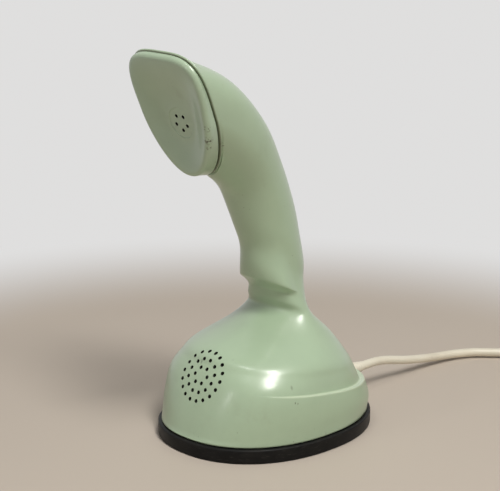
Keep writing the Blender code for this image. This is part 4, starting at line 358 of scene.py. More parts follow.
finishes = {
    "mint_plastic": mouldedPlastic("mintPlastic", mint),
    "mint_cap_plastic": mouldedPlastic("mintCapPlastic", mintCap),
    "ivory_plastic": dullPlastic("ivoryPlastic", (0.68, 0.64, 0.52), (0.56, 0.50, 0.36)),
    "black_plastic": dullPlastic("blackPlastic", (0.018, 0.018, 0.019), (0.045, 0.043, 0.040), 0.30),
    "black_rubber": blackRubber("baseRubber"),
    "cream_cord": cordPlastic("creamCord", (0.80, 0.75, 0.62), (0.54, 0.46, 0.33)),
    "red_wire": cordPlastic("redWire", (0.42, 0.045, 0.035), (0.18, 0.03, 0.025)),
    "zinc_steel": workedMetal("zincSteel", (0.56, 0.56, 0.53), (0.36, 0.34, 0.29), 0.32),
    "blued_spring_steel": workedMetal("bluedSteel", (0.20, 0.23, 0.30), (0.24, 0.19, 0.16), 0.26),
    "chrome": workedMetal("chromePlate", (0.78, 0.79, 0.80), (0.55, 0.52, 0.47), 0.08, (1, 1, 1), 0.25),
    "brass": workedMetal("brassTurned", (0.72, 0.54, 0.24), (0.42, 0.28, 0.11), 0.28, (1, 1, 6)),
    "aluminium": workedMetal("aluminiumPressed", (0.72, 0.73, 0.74), (0.50, 0.50, 0.49), 0.34),
    "brown_board": printedBoard("brownBoard"),
}
numeralPaint = paint("numeralPaint", (0.015, 0.015, 0.017))
# painted shade: the walls of the mouth and ear holes are near black, standing for the shade inside them
holeGrime = dullPlastic("holeGrime", (0.020, 0.021, 0.015), (0.008, 0.008, 0.007), 0.6)
print("stage: finishes")


# Shape helpers

def smoothStep(x):
    x = np.clip(x, 0, 1)
    return x * x * (3 - 2 * x)


def curveBetween(a, b, c, d, t):
    # From b to c, on the smooth curve through all four.
    return (2 * b + (c - a) * t + (2 * a - 5 * b + 4 * c - d) * t ** 2
            + (3 * b - a - 3 * c + d) * t ** 3) / 2


def smoothPath(points, step):
    given = np.array([tuple(p) for p in points])
    ends = np.vstack([2 * given[0] - given[1], given, 2 * given[-1] - given[-2]])
    fine = []
    for i in range(1, len(ends) - 2):
        fine += [curveBetween(*ends[i - 1:i + 3], t) for t in np.linspace(0, 1, 24, endpoint=False)]
    fine.append(ends[-2])
    fine = np.array(fine)
    along = np.concatenate([[0], np.cumsum(np.linalg.norm(np.diff(fine, axis=0), axis=1))])
    marks = np.linspace(0, along[-1], max(2, round(along[-1] / step) + 1))
    return [Vector([np.interp(m, along, fine[:, k]) for k in range(3)]) for m in marks]


def addPiece(obj, finish, body, *replaced):
    # A finished piece at the origin, riding on a body of the model.
    if not obj.data.materials:
        obj.data.materials.append(finishes[finish] if isinstance(finish, str) else finish)
    linked(obj)
    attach(obj, body)
    if replaced:
        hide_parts(*replaced)
    return obj


def meshFrom(name, bm):
    mesh = bpy.data.meshes.new(name)
    bm.to_mesh(mesh)
    bm.free()
    return mesh


def smoothed(mesh, sharp=35.0):
    mesh.shade_smooth()
    mesh.set_sharp_from_angle(angle=math.radians(sharp))
    return mesh


def placed(mesh, frame=None):
    mesh.transform(Matrix.Translation((0, midY, 0)) @ (frame or Matrix.Identity(4)))
    return mesh


def meshObject(name, bm, frame=None, sharp=35.0):
    # The mesh goes where it stands; its object stays at the origin.
    bmesh.ops.remove_doubles(bm, verts=bm.verts, dist=0.0005 * mm)
    bmesh.ops.recalc_face_normals(bm, faces=bm.faces)
    return bpy.data.objects.new(name, smoothed(placed(meshFrom(name, bm), frame), sharp))


def loopMesh(loops, closed=False):
    # A skin through the loops, closed into a tube or with a face at either end.
    bm = bmesh.new()
    rings = [[bm.verts.new(Vector(p)) for p in loop] for loop in loops]
    pairs = list(zip(rings, rings[1:]))
    if closed:
        pairs.append((rings[-1], rings[0]))
    for low, high in pairs:
        for i in range(len(low)):
            bm.faces.new((low[i - 1], low[i], high[i], high[i - 1]))
    if not closed:
        bm.faces.new(rings[0])
        bm.faces.new(rings[-1])
    return bm


def circle(radius, sides, centre=(0, 0)):
    return [polar(radius, math.tau * i / sides, centre) for i in range(sides)]


def superellipse(halfWidth, halfLength, squareness, sides):
    points = []
    for i in range(sides):
        c, s = math.cos(math.tau * i / sides), math.sin(math.tau * i / sides)
        points.append((halfWidth * math.copysign(abs(c) ** (2 / squareness), c),
                       halfLength * math.copysign(abs(s) ** (2 / squareness), s)))
    return points


def roundedBox(width, height, radius, reach=0.0, steps=8):
    # A rectangle with its corners rounded, moved outwards all round by its reach.
    points = []
    for i, (sx, sy) in enumerate(((1, 1), (-1, 1), (-1, -1), (1, -1))):
        corner = (sx * (width / 2 - radius), sy * (height / 2 - radius))
        points += [polar(radius + reach, math.pi / 2 * (i + j / steps), corner) for j in range(steps + 1)]
    return points


def rounded(profile, radius, steps=4):
    # A (radius, height) outline with its corners rounded; its two ends stay as they are.
    made = [profile[0]]
    for before, corner, after in zip(profile, profile[1:], profile[2:]):
        a, b, c = (np.array(p, float) for p in (before, corner, after))
        toA, toC = (a - b), (c - b)
        cut = min(radius, np.linalg.norm(toA) * 0.45, np.linalg.norm(toC) * 0.45)
        p = b + toA / np.linalg.norm(toA) * cut
        q = b + toC / np.linalg.norm(toC) * cut
        for k in range(steps + 1):
            u = k / steps
            made.append(tuple((1 - u) ** 2 * p + 2 * u * (1 - u) * b + u ** 2 * q))
    made.append(profile[-1])
    return made


def turnedMesh(profile, sides):
    # A (radius, height) outline spun about an upright axis.
    bm = bmesh.new()
    rings = []
    for r, z in profile:
        if r <= 1e-7:
            rings.append([bm.verts.new((0, 0, z))] * sides)
        else:
            rings.append([bm.verts.new((x, y, z)) for x, y in circle(r, sides)])
    for low, high in zip(rings, rings[1:]):
        for i in range(sides):
            corners = list(dict.fromkeys((low[i - 1], low[i], high[i], high[i - 1])))
            if len(corners) > 2:
                bm.faces.new(corners)
    return bm


def plateMesh(outline, bottom, top, holes=()):
    bm = bmesh.new()
    edges = []
    for loop in (outline, *holes):
        verts = [bm.verts.new((x, y, bottom)) for x, y in loop]
        edges += [bm.edges.new((verts[i - 1], verts[i])) for i in range(len(verts))]
    faces = [f for f in bmesh.ops.triangle_fill(bm, use_beauty=True, edges=edges)["geom"]
             if isinstance(f, bmesh.types.BMFace)]
    raised = bmesh.ops.extrude_face_region(bm, geom=faces)["geom"]
    tops = [v for v in raised if isinstance(v, bmesh.types.BMVert)]
    bmesh.ops.translate(bm, vec=(0, 0, top - bottom), verts=tops)
    return bm


def settle(obj):
    # Apply what is live on an object, so that it is a plain mesh.
    bpy.context.view_layer.update()
    graph = bpy.context.evaluated_depsgraph_get()
    mesh = bpy.data.meshes.new_from_object(obj.evaluated_get(graph), depsgraph=graph)
    obj.modifiers.clear()
    obj.data = mesh
    return obj


def carve(obj, tool, operation="DIFFERENCE"):
    for each in (obj, tool):
        linked(each)
    change = obj.modifiers.new("cut", "BOOLEAN")
    change.operation, change.solver, change.object = operation, "EXACT", tool
    change.material_mode = "TRANSFER"
    settle(obj)
    bpy.data.objects.remove(tool, do_unlink=True)
    return obj


# Geometry Nodes: rings of holes, rows of ribs and copies on points

class Layout(Tree):
    # A Geometry Nodes tree with named sizes, for copies of one object in one finish.
    def __init__(self, name, sizes):
        super().__init__(bpy.data.node_groups.new(name, "GeometryNodeTree"))
        self.keys = {}
        face = self.nodeTree.interface
        face.new_socket("Geometry", in_out="INPUT", socket_type="NodeSocketGeometry")
        for label, kind in dict(sizes, Copy="Object", Finish="Material").items():
            made = face.new_socket(label, in_out="INPUT", socket_type="NodeSocket" + kind)
            self.keys[label] = made.identifier
        face.new_socket("Geometry", in_out="OUTPUT", socket_type="NodeSocketGeometry")
        self.source = self.nodeTree.nodes.new("NodeGroupInput")

    def size(self, label):
        return Wire(self, self.source.outputs[label])

    def vector(self, **parts):
        return self.node("ShaderNodeCombineXYZ", parts)

    def points(self, count, spot):
        made = self.node("GeometryNodePoints", {"Count": count})
        return self.node("GeometryNodeSetPosition", {"Geometry": made, "Position": spot})

    def copies(self, points, **inputs):
        copy = self.node("GeometryNodeObjectInfo", {"Object": self.size("Copy")}, "Geometry")
        inputs.update(Points=points, Instance=copy)
        laid = self.node("GeometryNodeInstanceOnPoints", inputs)
        real = self.node("GeometryNodeRealizeInstances", {"Geometry": laid})
        inputs = {"Geometry": real, "Material": self.size("Finish")}
        done = self.node("GeometryNodeSetMaterial", inputs)
        self.node("NodeGroupOutput", {"Geometry": done}, output=None)
        return self

    def run(self, name, obj, values):
        change = obj.modifiers.new(name, "NODES")
        change.node_group = self.nodeTree
        for label, value in values.items():
            change[self.keys[label]] = value
        return settle(obj)


def ringsLayout():
    # Copies on concentric rings, each ring with one more set of copies and turned by half a step.
    t = Layout("ringsOfHoles", {"Rings": "Int", "First Count": "Int", "Pitch": "Float", "Start": "Float"})
    rings, first, index = t.size("Rings"), t.size("First Count"), t.node("GeometryNodeInputIndex")
    root = index.maths("SQRT", (index + 0.5) / first * 8 + 1)
    ring = index.maths("FLOOR", (root + 1) * 0.5)
    place = index - first * ring * (ring - 1) * 0.5
    angle = (place + 0.5) / (first * ring) * math.tau + t.size("Start")
    reach = ring * t.size("Pitch")
    spot = t.vector(X=reach * angle.maths("COSINE", angle), Y=reach * angle.maths("SINE", angle))
    return t.copies(t.points(first * rings * (rings + 1) * 0.5 + 0.1, spot))


def pointsLayout():
    # A copy on every vertex of the carrying mesh, each turned by its own chance amount.
    t = Layout("copiesOnPoints", {"Turn": "Float", "Seed": "Int"})
    inputs = {"Min": 0.0, "Max": 1.0, "Seed": t.size("Seed")}
    chance = t.node("FunctionNodeRandomValue", inputs, "Value", data_type="FLOAT")
    turn = t.vector(Z=chance * t.size("Turn"))
    turned = t.node("FunctionNodeEulerToRotation", {"Euler": turn})
    return t.copies(t.size("Geometry"), Rotation=turned)


def ribsLayout():
    # Rings threaded on a line, growing or shrinking along it.
    sizes = dict.fromkeys(("Length", "First Scale", "Last Scale"), "Float")
    t = Layout("ribsOnLine", dict(sizes, Count="Int"))
    count, first = t.size("Count"), t.size("First Scale")
    share = t.node("GeometryNodeInputIndex") / (count - 1)
    wide = first + (t.size("Last Scale") - first) * share
    spot = t.vector(Z=share * t.size("Length"))
    return t.copies(t.points(count, spot), Scale=t.vector(X=wide, Y=wide, Z=1.0))


ringsOfHoles, copiesOnPoints, ribsOnLine = ringsLayout(), pointsLayout(), ribsLayout()


def emptyMesh(name, points=((0, 0, 0),)):
    mesh = bpy.data.meshes.new(name)
    mesh.from_pydata([tuple(p) for p in points], [], [])
    obj = bpy.data.objects.new(name, mesh)
    linked(obj)
    return obj


def laidOut(name, layout, pattern, values, points=((0, 0, 0),), frame=None):
    # The pattern's copies as one plain mesh, placed about the dial's axis.
    linked(pattern)
    obj = emptyMesh(name, points)
    layout.run(name, obj, dict(values, Copy=pattern))
    bpy.data.objects.remove(pattern, do_unlink=True)
    smoothed(placed(obj.data, frame))
    return obj


def turnedPiece(name, profile, sides=64, frame=None):
    return meshObject(name, turnedMesh(profile, sides), frame)


def plainObject(name, bm):
    # A pattern for the layouts, left about its own origin.
    bmesh.ops.recalc_face_normals(bm, faces=bm.faces)
    return bpy.data.objects.new(name, meshFrom(name, bm))


def peg(name, radius, bottom, top, sides=32):
    return plainObject(name, turnedMesh([(0, bottom), (radius, bottom), (radius, top), (0, top)], sides))


print("stage: tools")


# Line cord: out of the strain relief, down to the table and into its coil

cord = inMm(
    radius=2.75, exitZ=16.5, step=7.0, coilX=87.5, coilY=203.5, innerRadius=22.6, turnPitch=6.1,
    layerPitch=6.0, drawIn=1.5, tailRadius=24.0, plugHeight=16.0, gap=0.3, tieThickness=0.6, tableGap=0.1,
) | {
    "route": ((0.0, 96.0, 16.5), (0.0, 103.0, 15.9), (0.0, 111.0, 14.4), (0.0, 126.0, 10.8),
              (-0.5, 142.0, 7.6), (0.0, 158.0, 5.4), (2.0, 173.0, 4.3), (8.4, 187.0, 3.9),
              (19.8, 198.6, 3.8)),
    "turnsInLayer": 3.5, "startAngle": math.radians(132.0), "coilSteps": 32, "riseTurn": 0.2,
}


def coilPoint(turns, radius, z):
    angle = cord["startAngle"] - math.tau * turns
    return Vector((*polar(radius, angle, (cord["coilX"], cord["coilY"])), z))


def coilPoints():
    # In along the lower layer, up a layer, out along the upper one, then over the top to the plug.
    c = cord
    turns, pitch, layer, steps = c["turnsInLayer"], c["turnPitch"], c["layerPitch"], c["coilSteps"]
    inner, radius = c["innerRadius"], c["radius"]
    outer = inner + turns * pitch
    low = c["tableGap"] + c["tieThickness"] + c["gap"] + radius
    high = low + layer
    start, after = coilPoint(0, outer, low), coilPoint(0.01, outer, low)
    points = [start - (after - start).normalized() * radius * 2]
    for i in range(round((2 * turns + 0.5) * steps) + 1):
        u = i / steps
        if u < turns:
            points.append(coilPoint(u, outer - pitch * u, low))
        elif u < turns + 0.5:
            part = (u - turns) * 2
            points.append(coilPoint(u, inner - c["drawIn"] * math.sin(math.pi * part),
                                    low + layer * smoothStep(part)))
        else:
            points.append(coilPoint(u, inner + pitch * (u - turns - 0.5), high))
    end = 2 * turns + 0.5
    turn = round(c["riseTurn"] * 24) / 24
    for i in range(1, round(turn * steps) + 1):
        u = i / steps
        points.append(coilPoint(end + u, outer + pitch * u, high + layer * smoothStep(u / turn)))
    centre = coilPoint(end + turn, outer + pitch * turn - c["tailRadius"], 0)
    bend = Matrix.Translation(centre) @ Matrix.Rotation(c["startAngle"] - math.tau * (end + turn), 4, "Z")
    plugZ = high + radius + c["gap"] + c["plugHeight"] / 2
    for i in range(1, 11):
        angle = math.pi / 2 * i / 10
        spot = bend @ Vector((c["tailRadius"] * math.cos(angle), -c["tailRadius"] * math.sin(angle), 0))
        points.append(Vector((spot.x, spot.y, high + layer + (plugZ - high - layer) * smoothStep(i / 10))))
    points.append(points[-1] + (bend.to_3x3() @ Vector((-1, 0, 0))) * radius * 2)
    return points, bend, plugZ


def makeCord():
    c = cord
    coil, bend, plugZ = coilPoints()
    exitPoint = Vector((0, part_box("line_cord")[0].y, cord["exitZ"]))
    lead = coil[0] + (coil[0] - coil[1]).normalized() * c["gap"]
    middle = [Vector(p) * mm for p in c["route"]] + [lead]
    free = smoothPath([exitPoint - Vector((0, midY, 0))] + middle, c["step"])
    path = [p + Vector((0, midY, 0)) for p in free[:-1] + coil]
    curve = bpy.data.curves.new("lineCord", "CURVE")
    curve.dimensions = "3D"
    curve.bevel_depth, curve.bevel_resolution, curve.use_fill_caps = c["radius"], 6, True
    spline = curve.splines.new("POLY")
    spline.points.add(len(path) - 1)
    for point, spot in zip(spline.points, path):
        point.co = (*spot, 1.0)
    made = bpy.data.objects.new("lineCord", curve)
    addPiece(made, "cream_cord", "case", "line_cord", "line_cord_coil")
    length = sum((b - a).length for a, b in zip(path, path[1:]))
    print(f"stage: cord of {length:.3f} m")
    return made, exitPoint, length, bend, plugZ


lineCord, cordExit, cordLength, plugBend, plugZ = makeCord()


# Housing: the model's sections drawn finer, with a slightly fuller grip and a lip that ends sooner

telephone = inMm(
    width=112.0, length=133.0, height=232.8, ringHeight=8.5,
)
housing = inMm(
    wall=2.6, footSetback=2.0, footZ=8.8, ledgeFlare=1.3, ledgeInset=1.4, lipProud=7.0, rimProud=0.8,
    rimRadius=1.0, mouthHoleRadius=1.15, mouthPitch=5.0, cordHoleRadius=4.8, innerStart=0.5,
    filletRise=0.7, skirtDrop=10.0, mouthDepth=7.0, cordHoleFrom=50.0, cordHoleTo=75.0,
) | {
    "footSquareness": 2.2,
    # how far each row of the rounded foot stands back and up, in millimetres
    "foot": ((0.9, 0.0), (0.45, 0.1), (0.12, 0.4), (0.0, 0.9)),
    "filletReach": 0.8, "hollow": 0.86, "hollowPower": 2.2,
    "sides": 192, "ledgeRow": 2, "ledgeEnd": math.radians(142.0),
    "ledgeBlend": math.radians(80.0), "ledgeFade": 2.5, "ledgeEdge": 0.06, "lipRow": 8, "lipPower": 1.5,
    "lipFade": 3.0, "lipUnder": 0.50, "lipEdge": 0.16, "lipEnd": math.radians(90.0),
    "lipBlend": math.radians(38.0), "mouthRow": 2.37, "mouthRings": 3, "mouthFirst": 6,
    # front reach, front rise, back reach, back rise, half width, squareness in front and behind, egg shape
    "rows": (
        (-0.892, 0.112, 0.950, 0.071, 0.957, 2.4, 2.3, 0.00),
        (-0.802, 0.172, 0.892, 0.112, 0.923, 2.6, 2.2, 0.00),
        (-0.723, 0.209, 0.802, 0.153, 0.884, 2.25, 2.2, 0.00),
        (-0.635, 0.238, 0.698, 0.192, 0.826, 1.85, 2.2, 0.00),
        (-0.250, 0.283, 0.547, 0.249, 0.600, 1.6, 2.2, 0.00),
        (-0.025, 0.316, 0.372, 0.296, 0.445, 1.8, 2.0, 0.00),
        (-0.040, 0.350, 0.346, 0.313, 0.388, 2.0, 2.0, 0.00),
        (-0.072, 0.391, 0.353, 0.336, 0.338, 2.0, 2.0, 0.00),
        (-0.126, 0.436, 0.366, 0.377, 0.304, 2.0, 2.0, 0.00),
        (-0.190, 0.481, 0.374, 0.427, 0.307, 2.0, 2.0, 0.00),
        (-0.272, 0.524, 0.320, 0.498, 0.321, 2.0, 2.0, 0.00),
        (-0.346, 0.571, 0.230, 0.593, 0.336, 2.0, 2.0, 0.00),
        (-0.429, 0.627, 0.038, 0.713, 0.370, 2.0, 2.1, 0.00),
        (-0.519, 0.656, -0.248, 0.829, 0.423, 2.0, 2.5, 0.10),
        (-0.601, 0.674, -0.669, 0.935, 0.463, 2.0, 2.9, 0.17),
    ),
}
receiver = inMm(
    reach=69.8, halfWidth=27.4, halfHeight=36.9, raised=1.7, seamHalfWidth=26.1, seamHalfHeight=39.2,
    depth=8.05, rimRadius=2.5, dish=4.4, wall=2.3, earDrop=3.6, earRadius=9.3, holeRadius=1.1,
    holeCircle=4.65, spigot=1.5, spigotInset=6.2, spigotWall=1.8, seamGap=0.45, grooveRadius=0.7,
    holeFrom=-9.0, holeTo=2.0,
) | {
    "tilt": math.radians(18.8), "lean": math.radians(6.9), "squareness": (2.03, 3.54),
    "seamSquareness": (1.79, 3.54), "egg": 0.18,
    # what the seam's gap is multiplied by at half height, and how much less that is at the top
    "gape": (1.3, 0.9),
    # the ear disc's rings: how far inside its edge, and how far sunk, in millimetres
    "disc": ((0.75, 0.35), (0.4, 0.33), (0.15, 0.18)),
    "holes": 5, "sides": 144,
}
angles = np.arange(housing["sides"]) * math.tau / housing["sides"]


def leaning(lean):
    # Up a plane of the head that leans back from upright, and out of it.
    return Vector((0, -math.sin(lean), math.cos(lean))), Vector((0, -math.cos(lean), -math.sin(lean)))


def seamAxes():
    # The seam leans back further than the face.
    return leaning(receiver["tilt"] + receiver["lean"])


def frameAt(spot, up, out):
    matrix = Matrix(((1, 0, 0), up, out)).transposed().to_4x4()
    matrix.translation = spot
    return matrix


def seamCentre():
    half = receiver["seamHalfHeight"] + housing["rimProud"]
    forward = receiver["depth"] * math.cos(receiver["tilt"]) - receiver["reach"]
    return Vector((0, forward, telephone["height"] - half * seamAxes()[0].z))


def skinRows():
    halfLength, halfWidth, height = telephone["length"] / 2, telephone["width"] / 2, telephone["height"]
    back, square = housing["footSetback"], housing["footSquareness"]
    rows = [(-halfLength + back, housing["footZ"], halfLength - back, housing["footZ"], halfWidth - back,
             square, square, 0)]
    for front, frontRise, rear, rearRise, width, *shape in housing["rows"]:
        rows.append((front * halfLength, frontRise * height, rear * halfLength, rearRise * height,
                     width * halfWidth, *shape))
    reach = seamAxes()[0] * (receiver["seamHalfHeight"] + housing["rimProud"])
    low, high = seamCentre() - reach, seamCentre() + reach
    rows.append((low.y, low.z, high.y, high.z, receiver["seamHalfWidth"] + housing["rimProud"],
                 *receiver["seamSquareness"], receiver["egg"]))
    return np.array(rows)


rows = skinRows()
lastRow = len(rows) - 1


def rowAt(t):
    i = min(int(t), lastRow - 1)
    b, c = rows[i], rows[i + 1]
    a = rows[i - 1] if i else 2 * b - c
    d = rows[i + 2] if i + 2 <= lastRow else 2 * c - b
    return curveBetween(a, b, c, d, t - i)


def section(row, turn):
    # Points of one section; angle 0 is behind and half a turn is in front.
    frontY, frontZ, backY, backZ, width, frontSquare, backSquare, egg = row
    c, s = np.cos(turn), np.sin(turn)
    power = 2 / np.where(c >= 0, backSquare, frontSquare)
    along = np.sign(c) * np.abs(c) ** power
    across = width * (1 + egg * along) * np.sign(s) * np.abs(s) ** power
    return np.stack([across, (frontY + backY) / 2 + (backY - frontY) / 2 * along,
                     (frontZ + backZ) / 2 + (backZ - frontZ) / 2 * along], axis=1)


def lipSection(t, proud):
    # The lip under the grip stands proud in front and fades round the sides.
    points = section(rowAt(t), angles)
    middle = (points[0] + points[len(angles) // 2]) / 2
    out = points - middle
    out /= np.linalg.norm(out, axis=1)[:, None]
    fromFront = np.abs(angles - math.pi)
    fade = np.clip((housing["lipEnd"] - fromFront) / housing["lipBlend"], 0, 1)
    share = ((1 - np.cos(angles)) / 2) ** housing["lipPower"] * fade * fade * (3 - 2 * fade)
    return points + out * share[:, None] * proud


def skinNormals(t, turn):
    low, high, step = max(t - 0.02, 0), min(t + 0.02, lastRow), 0.02
    rise = section(rowAt(high), turn) - section(rowAt(low), turn)
    ahead = section(rowAt(t), turn + step) - section(rowAt(t), turn - step)
    out = np.cross(rise, ahead)
    return out / np.linalg.norm(out, axis=1)[:, None]


def ledgeTaper(turn):
    # The ledge is boldest behind and dies away towards the front.
    fromBack = np.abs((turn + math.pi) % math.tau - math.pi)
    return smoothStep((housing["ledgeEnd"] - fromBack) / housing["ledgeBlend"])[:, None]


def outerLoops():
    h = housing
    flare, inset, edge, row = h["ledgeFlare"], h["ledgeInset"], h["ledgeEdge"], h["ledgeRow"]
    loops = []

    def add(t, swell, proud=0.0):
        loops.append(lipSection(t, proud) + skinNormals(t, angles) * swell * ledgeTaper(angles))

    for back, z in h["foot"]:
        loop = section(rowAt(0), angles) - skinNormals(0.02, angles) * [1, 1, 0] * back * mm
        loop[:, 2] += z * mm
        loops.append(loop)
    for t in np.linspace(0.1, row - edge * 1.5, 16):
        add(t, flare * smoothStep(t / row))
    for sine, drop in quarter(6):                       # rounded top of the skirt
        add(row - edge + edge * sine, flare - drop * edge * h["skirtDrop"])
    for sine, drop in quarter(6, 1):                    # fillet up to the body
        add(row + edge * drop * h["filletReach"], -inset + h["filletRise"] * (1 - sine))
    lip, proud, under = h["lipRow"], h["lipProud"], h["lipUnder"]
    for t in np.linspace(row + edge * 1.5, lip - under - 0.04, 78):
        add(t, -inset * smoothStep(1 - (t - row) / h["ledgeFade"]))
    for k in range(1, 17):                              # hollow under the lip
        u = k / 16
        add(lip - under + under * u, 0.0, proud * h["hollow"] * u ** h["hollowPower"])
    for sine, drop in quarter(7, 1):                    # rounded edge of the lip
        add(lip + h["lipEdge"] * drop, 0.0, proud * (h["hollow"] + (1 - h["hollow"]) * sine))
    for t in np.linspace(lip + h["lipEdge"] + 0.06, lastRow - 0.12, 92):
        add(t, 0.0, proud * smoothStep(1 - (t - lip - 0.05) / h["lipFade"]))
    return loops


def seamLoop(inset, back):
    # The head's outline in the plane of the seam, drawn in and back.
    row = rows[-1].copy()
    along = np.array((row[2] - row[0], row[3] - row[1]))
    along *= inset / np.linalg.norm(along)
    row[0:2] += along
    row[2:4] -= along
    row[4] -= inset
    return section(row, angles) - np.array(seamAxes()[1]) * back


def innerLoops():
    loops = []
    for t in list(np.linspace(lastRow - 0.6, 6, 12)) + list(np.linspace(5, 0, 12)):
        loop = section(rowAt(t), angles) - skinNormals(t, angles) * housing["wall"]
        if t == 0:
            loop[:, 2] = housing["footZ"]
        loops.append(loop)
    return loops


def mouthFrame():
    t, front = housing["mouthRow"], np.array([math.pi])
    out = Vector(skinNormals(t, front)[0])
    return frameAt(Vector(section(rowAt(t), front)[0]), out.cross(Vector((1, 0, 0))), out)


def makeHousing():
    h = housing
    r = h["rimRadius"]
    loops = outerLoops() + [seamLoop(r * drop, r * (1 - sine)) for sine, drop in quarter(6)]
    loops += [seamLoop(h["wall"] * 0.7, 0.0), seamLoop(h["wall"], h["innerStart"])] + innerLoops()
    made = meshObject("housingShell", loopMesh(loops, closed=True), sharp=40)
    made.data.materials.append(finishes["mint_plastic"])
    tool = peg("mouthPeg", h["mouthHoleRadius"], -h["mouthDepth"], h["mouthDepth"], 20)
    cut = laidOut("mouthHoles", ringsOfHoles, tool,
                  {"Rings": h["mouthRings"], "First Count": h["mouthFirst"], "Pitch": h["mouthPitch"],
                   "Start": math.pi / 2, "Finish": holeGrime}, frame=mouthFrame())
    carve(made, cut)
    hole = peg("cordHole", h["cordHoleRadius"], h["cordHoleFrom"], h["cordHoleTo"], 40)
    hole.data.transform(Matrix.Translation((0, midY, cord["exitZ"])) @ Matrix.Rotation(-math.pi / 2, 4, "X"))
    carve(made, hole)
    smoothed(made.data, 40)
    addPiece(made, "mint_plastic", "case", "housing")


makeHousing()
print("stage: housing")


# Receiver cap: dished face, rounded rim and five holes

def faceFrame():
    up, out = leaning(receiver["tilt"])
    return frameAt(seamCentre() + out * receiver["depth"], up, out)


def shield(halfWidth, halfHeight, squareness):
    # A shield outline; angle 0 is at its top.
    turn = np.arange(receiver["sides"]) * math.tau / receiver["sides"]
    c, s = np.cos(turn), np.sin(turn)
    power = 2 / np.where(c >= 0, squareness[1], squareness[0])
    along = np.sign(c) * np.abs(c) ** power
    across = (1 + receiver["egg"] * along) * np.sign(s) * np.abs(s) ** power
    return halfWidth * across, halfHeight * along, c, s


def capLoop(inset, depth, roundness=0.0):
    r = receiver
    x, y, c, s = shield(r["halfWidth"] - inset, r["halfHeight"] - inset, r["squareness"])
    y = y + r["raised"]
    x = x + (r["earRadius"] * s - x) * roundness
    y = y + (r["earRadius"] * c - r["earDrop"] - y) * roundness
    return np.stack([x, y, np.full_like(x, -depth)], axis=1)


def capSeamLoop(inset, ahead=0.0, least=0.0):
    r = receiver
    x, y = shield(r["seamHalfWidth"] - inset, r["seamHalfHeight"] - inset, r["seamSquareness"])[:2]
    y = y * math.cos(r["lean"])
    gape = r["gape"][0] - r["gape"][1] * y / r["seamHalfHeight"]
    depth = np.maximum(r["depth"] - y * math.tan(r["lean"]) - ahead * gape, least)
    return np.stack([x, y, -depth], axis=1)


def makeReceiverCap():
    r = receiver
    rim, gap, groove = r["rimRadius"], r["seamGap"], r["grooveRadius"]
    loops = []
    for within, sunk in r["disc"]:
        disc = capLoop(rim, r["dish"] + sunk * mm, 1.0)
        disc[:, :2] += (disc[:, :2] - (0, -r["earDrop"])) * (-within * mm / r["earRadius"])
        loops.append(disc)
    for share in np.linspace(1.0, 0.04, 26):
        loops.append(capLoop(rim, r["dish"] * math.sin(math.pi / 2 * share) ** 1.5, share))
    loops += [capLoop(rim * (1 - sine), rim * drop) for sine, drop in quarter(8)]
    front, back = capLoop(0.0, rim), capSeamLoop(0.0, gap + groove)
    loops += [front + (back - front) * u for u in (0.3, 0.6, 0.9, 1.0)]
    for sine, drop in quarter(5, 1):                    # rounded edge at the seam
        loops.append(capSeamLoop(groove * drop, gap + groove * (1 - sine)))
    inset, floor = r["spigotInset"], r["dish"] + r["wall"]
    inner = inset + r["spigotWall"]
    loops += [capSeamLoop(inset, gap + groove), capSeamLoop(inset, -r["spigot"], floor + r["spigot"]),
              capSeamLoop(inner, -r["spigot"], floor + r["spigot"])]
    loops.append(capSeamLoop(inner) * [1, 1, 0] - np.array((0, 0, floor)))
    made = meshObject("receiverCap", loopMesh(loops), faceFrame(), sharp=40)
    made.data.materials.append(finishes["mint_cap_plastic"])
    cut = laidOut("earHoles", ringsOfHoles, peg("earPeg", r["holeRadius"], r["holeFrom"], r["holeTo"], 24),
                  {"Rings": 1, "First Count": r["holes"], "Pitch": r["holeCircle"],
                   "Start": -math.pi / 2 - math.pi / r["holes"], "Finish": holeGrime},
                  frame=faceFrame() @ Matrix.Translation((0, -r["earDrop"], 0)))
    carve(made, cut)
    smoothed(made.data, 40)
    addPiece(made, "mint_cap_plastic", "case", "receiver_cap")


makeReceiverCap()
print("stage: receiver cap")


# Base ring

baseRing = inMm(
    thickness=9.0, rebate=5.0, edge=1.1, seat=5.7, chamfer=0.5,
) | {
    "squareness": 2.2, "sides": 160,
}


def makeBaseRing():
    b = baseRing
    edge, top, cut, thick = b["edge"], telephone["ringHeight"], b["chamfer"], b["thickness"]
    steps = [(thick - cut, 0)]
    steps += [(edge * (1 - sine), edge * drop) for sine, drop in quarter(6)]
    steps += [(edge * drop, top - edge * (1 - sine)) for sine, drop in quarter(6)]
    steps += [(b["rebate"], top), (b["rebate"], b["seat"]), (thick, b["seat"]), (thick, cut)]
    loops = []
    for inset, z in steps:
        outline = superellipse(telephone["width"] / 2 - inset, telephone["length"] / 2 - inset,
                               b["squareness"], b["sides"])
        loops.append([(x, y, z) for x, y in outline])
    addPiece(meshObject("baseRing", loopMesh(loops, closed=True)), "black_rubber", "case", "base_ring")


makeBaseRing()
print("stage: base ring")


# Dial: finger wheel, number ring with its figures, stop, nut and plunger

dial = inMm(
    wheelBottom=2.3, wheelTop=5.3, wheelRadius=37.0, bore=11.4, holeRadius=6.2, holeCircle=28.5, bevel=0.7,
    ringBottom=6.6, ringTop=8.0, ringOuter=39.5, ringInner=17.0, figureHeight=6.6, nutBottom=0.8,
    nutTop=2.0, nutRadius=14.5, stopReach=21.0, stopInner=38.30, stopOuter=39.2, stopTop=6.3, stopWidth=4.0,
    stopThick=1.0, stopStep=5.0, stopBend=0.42, edge=0.3, stopEdge=0.2, figureDepth=0.05, figureBold=0.12,
    figureGap=0.02,
) | {
    "holes": 10, "holeStep": math.radians(29.0), "firstHole": math.radians(62.0),
    "stopAngle": math.radians(-50.0), "nutFlats": 12, "figureSize": 1.35,
}
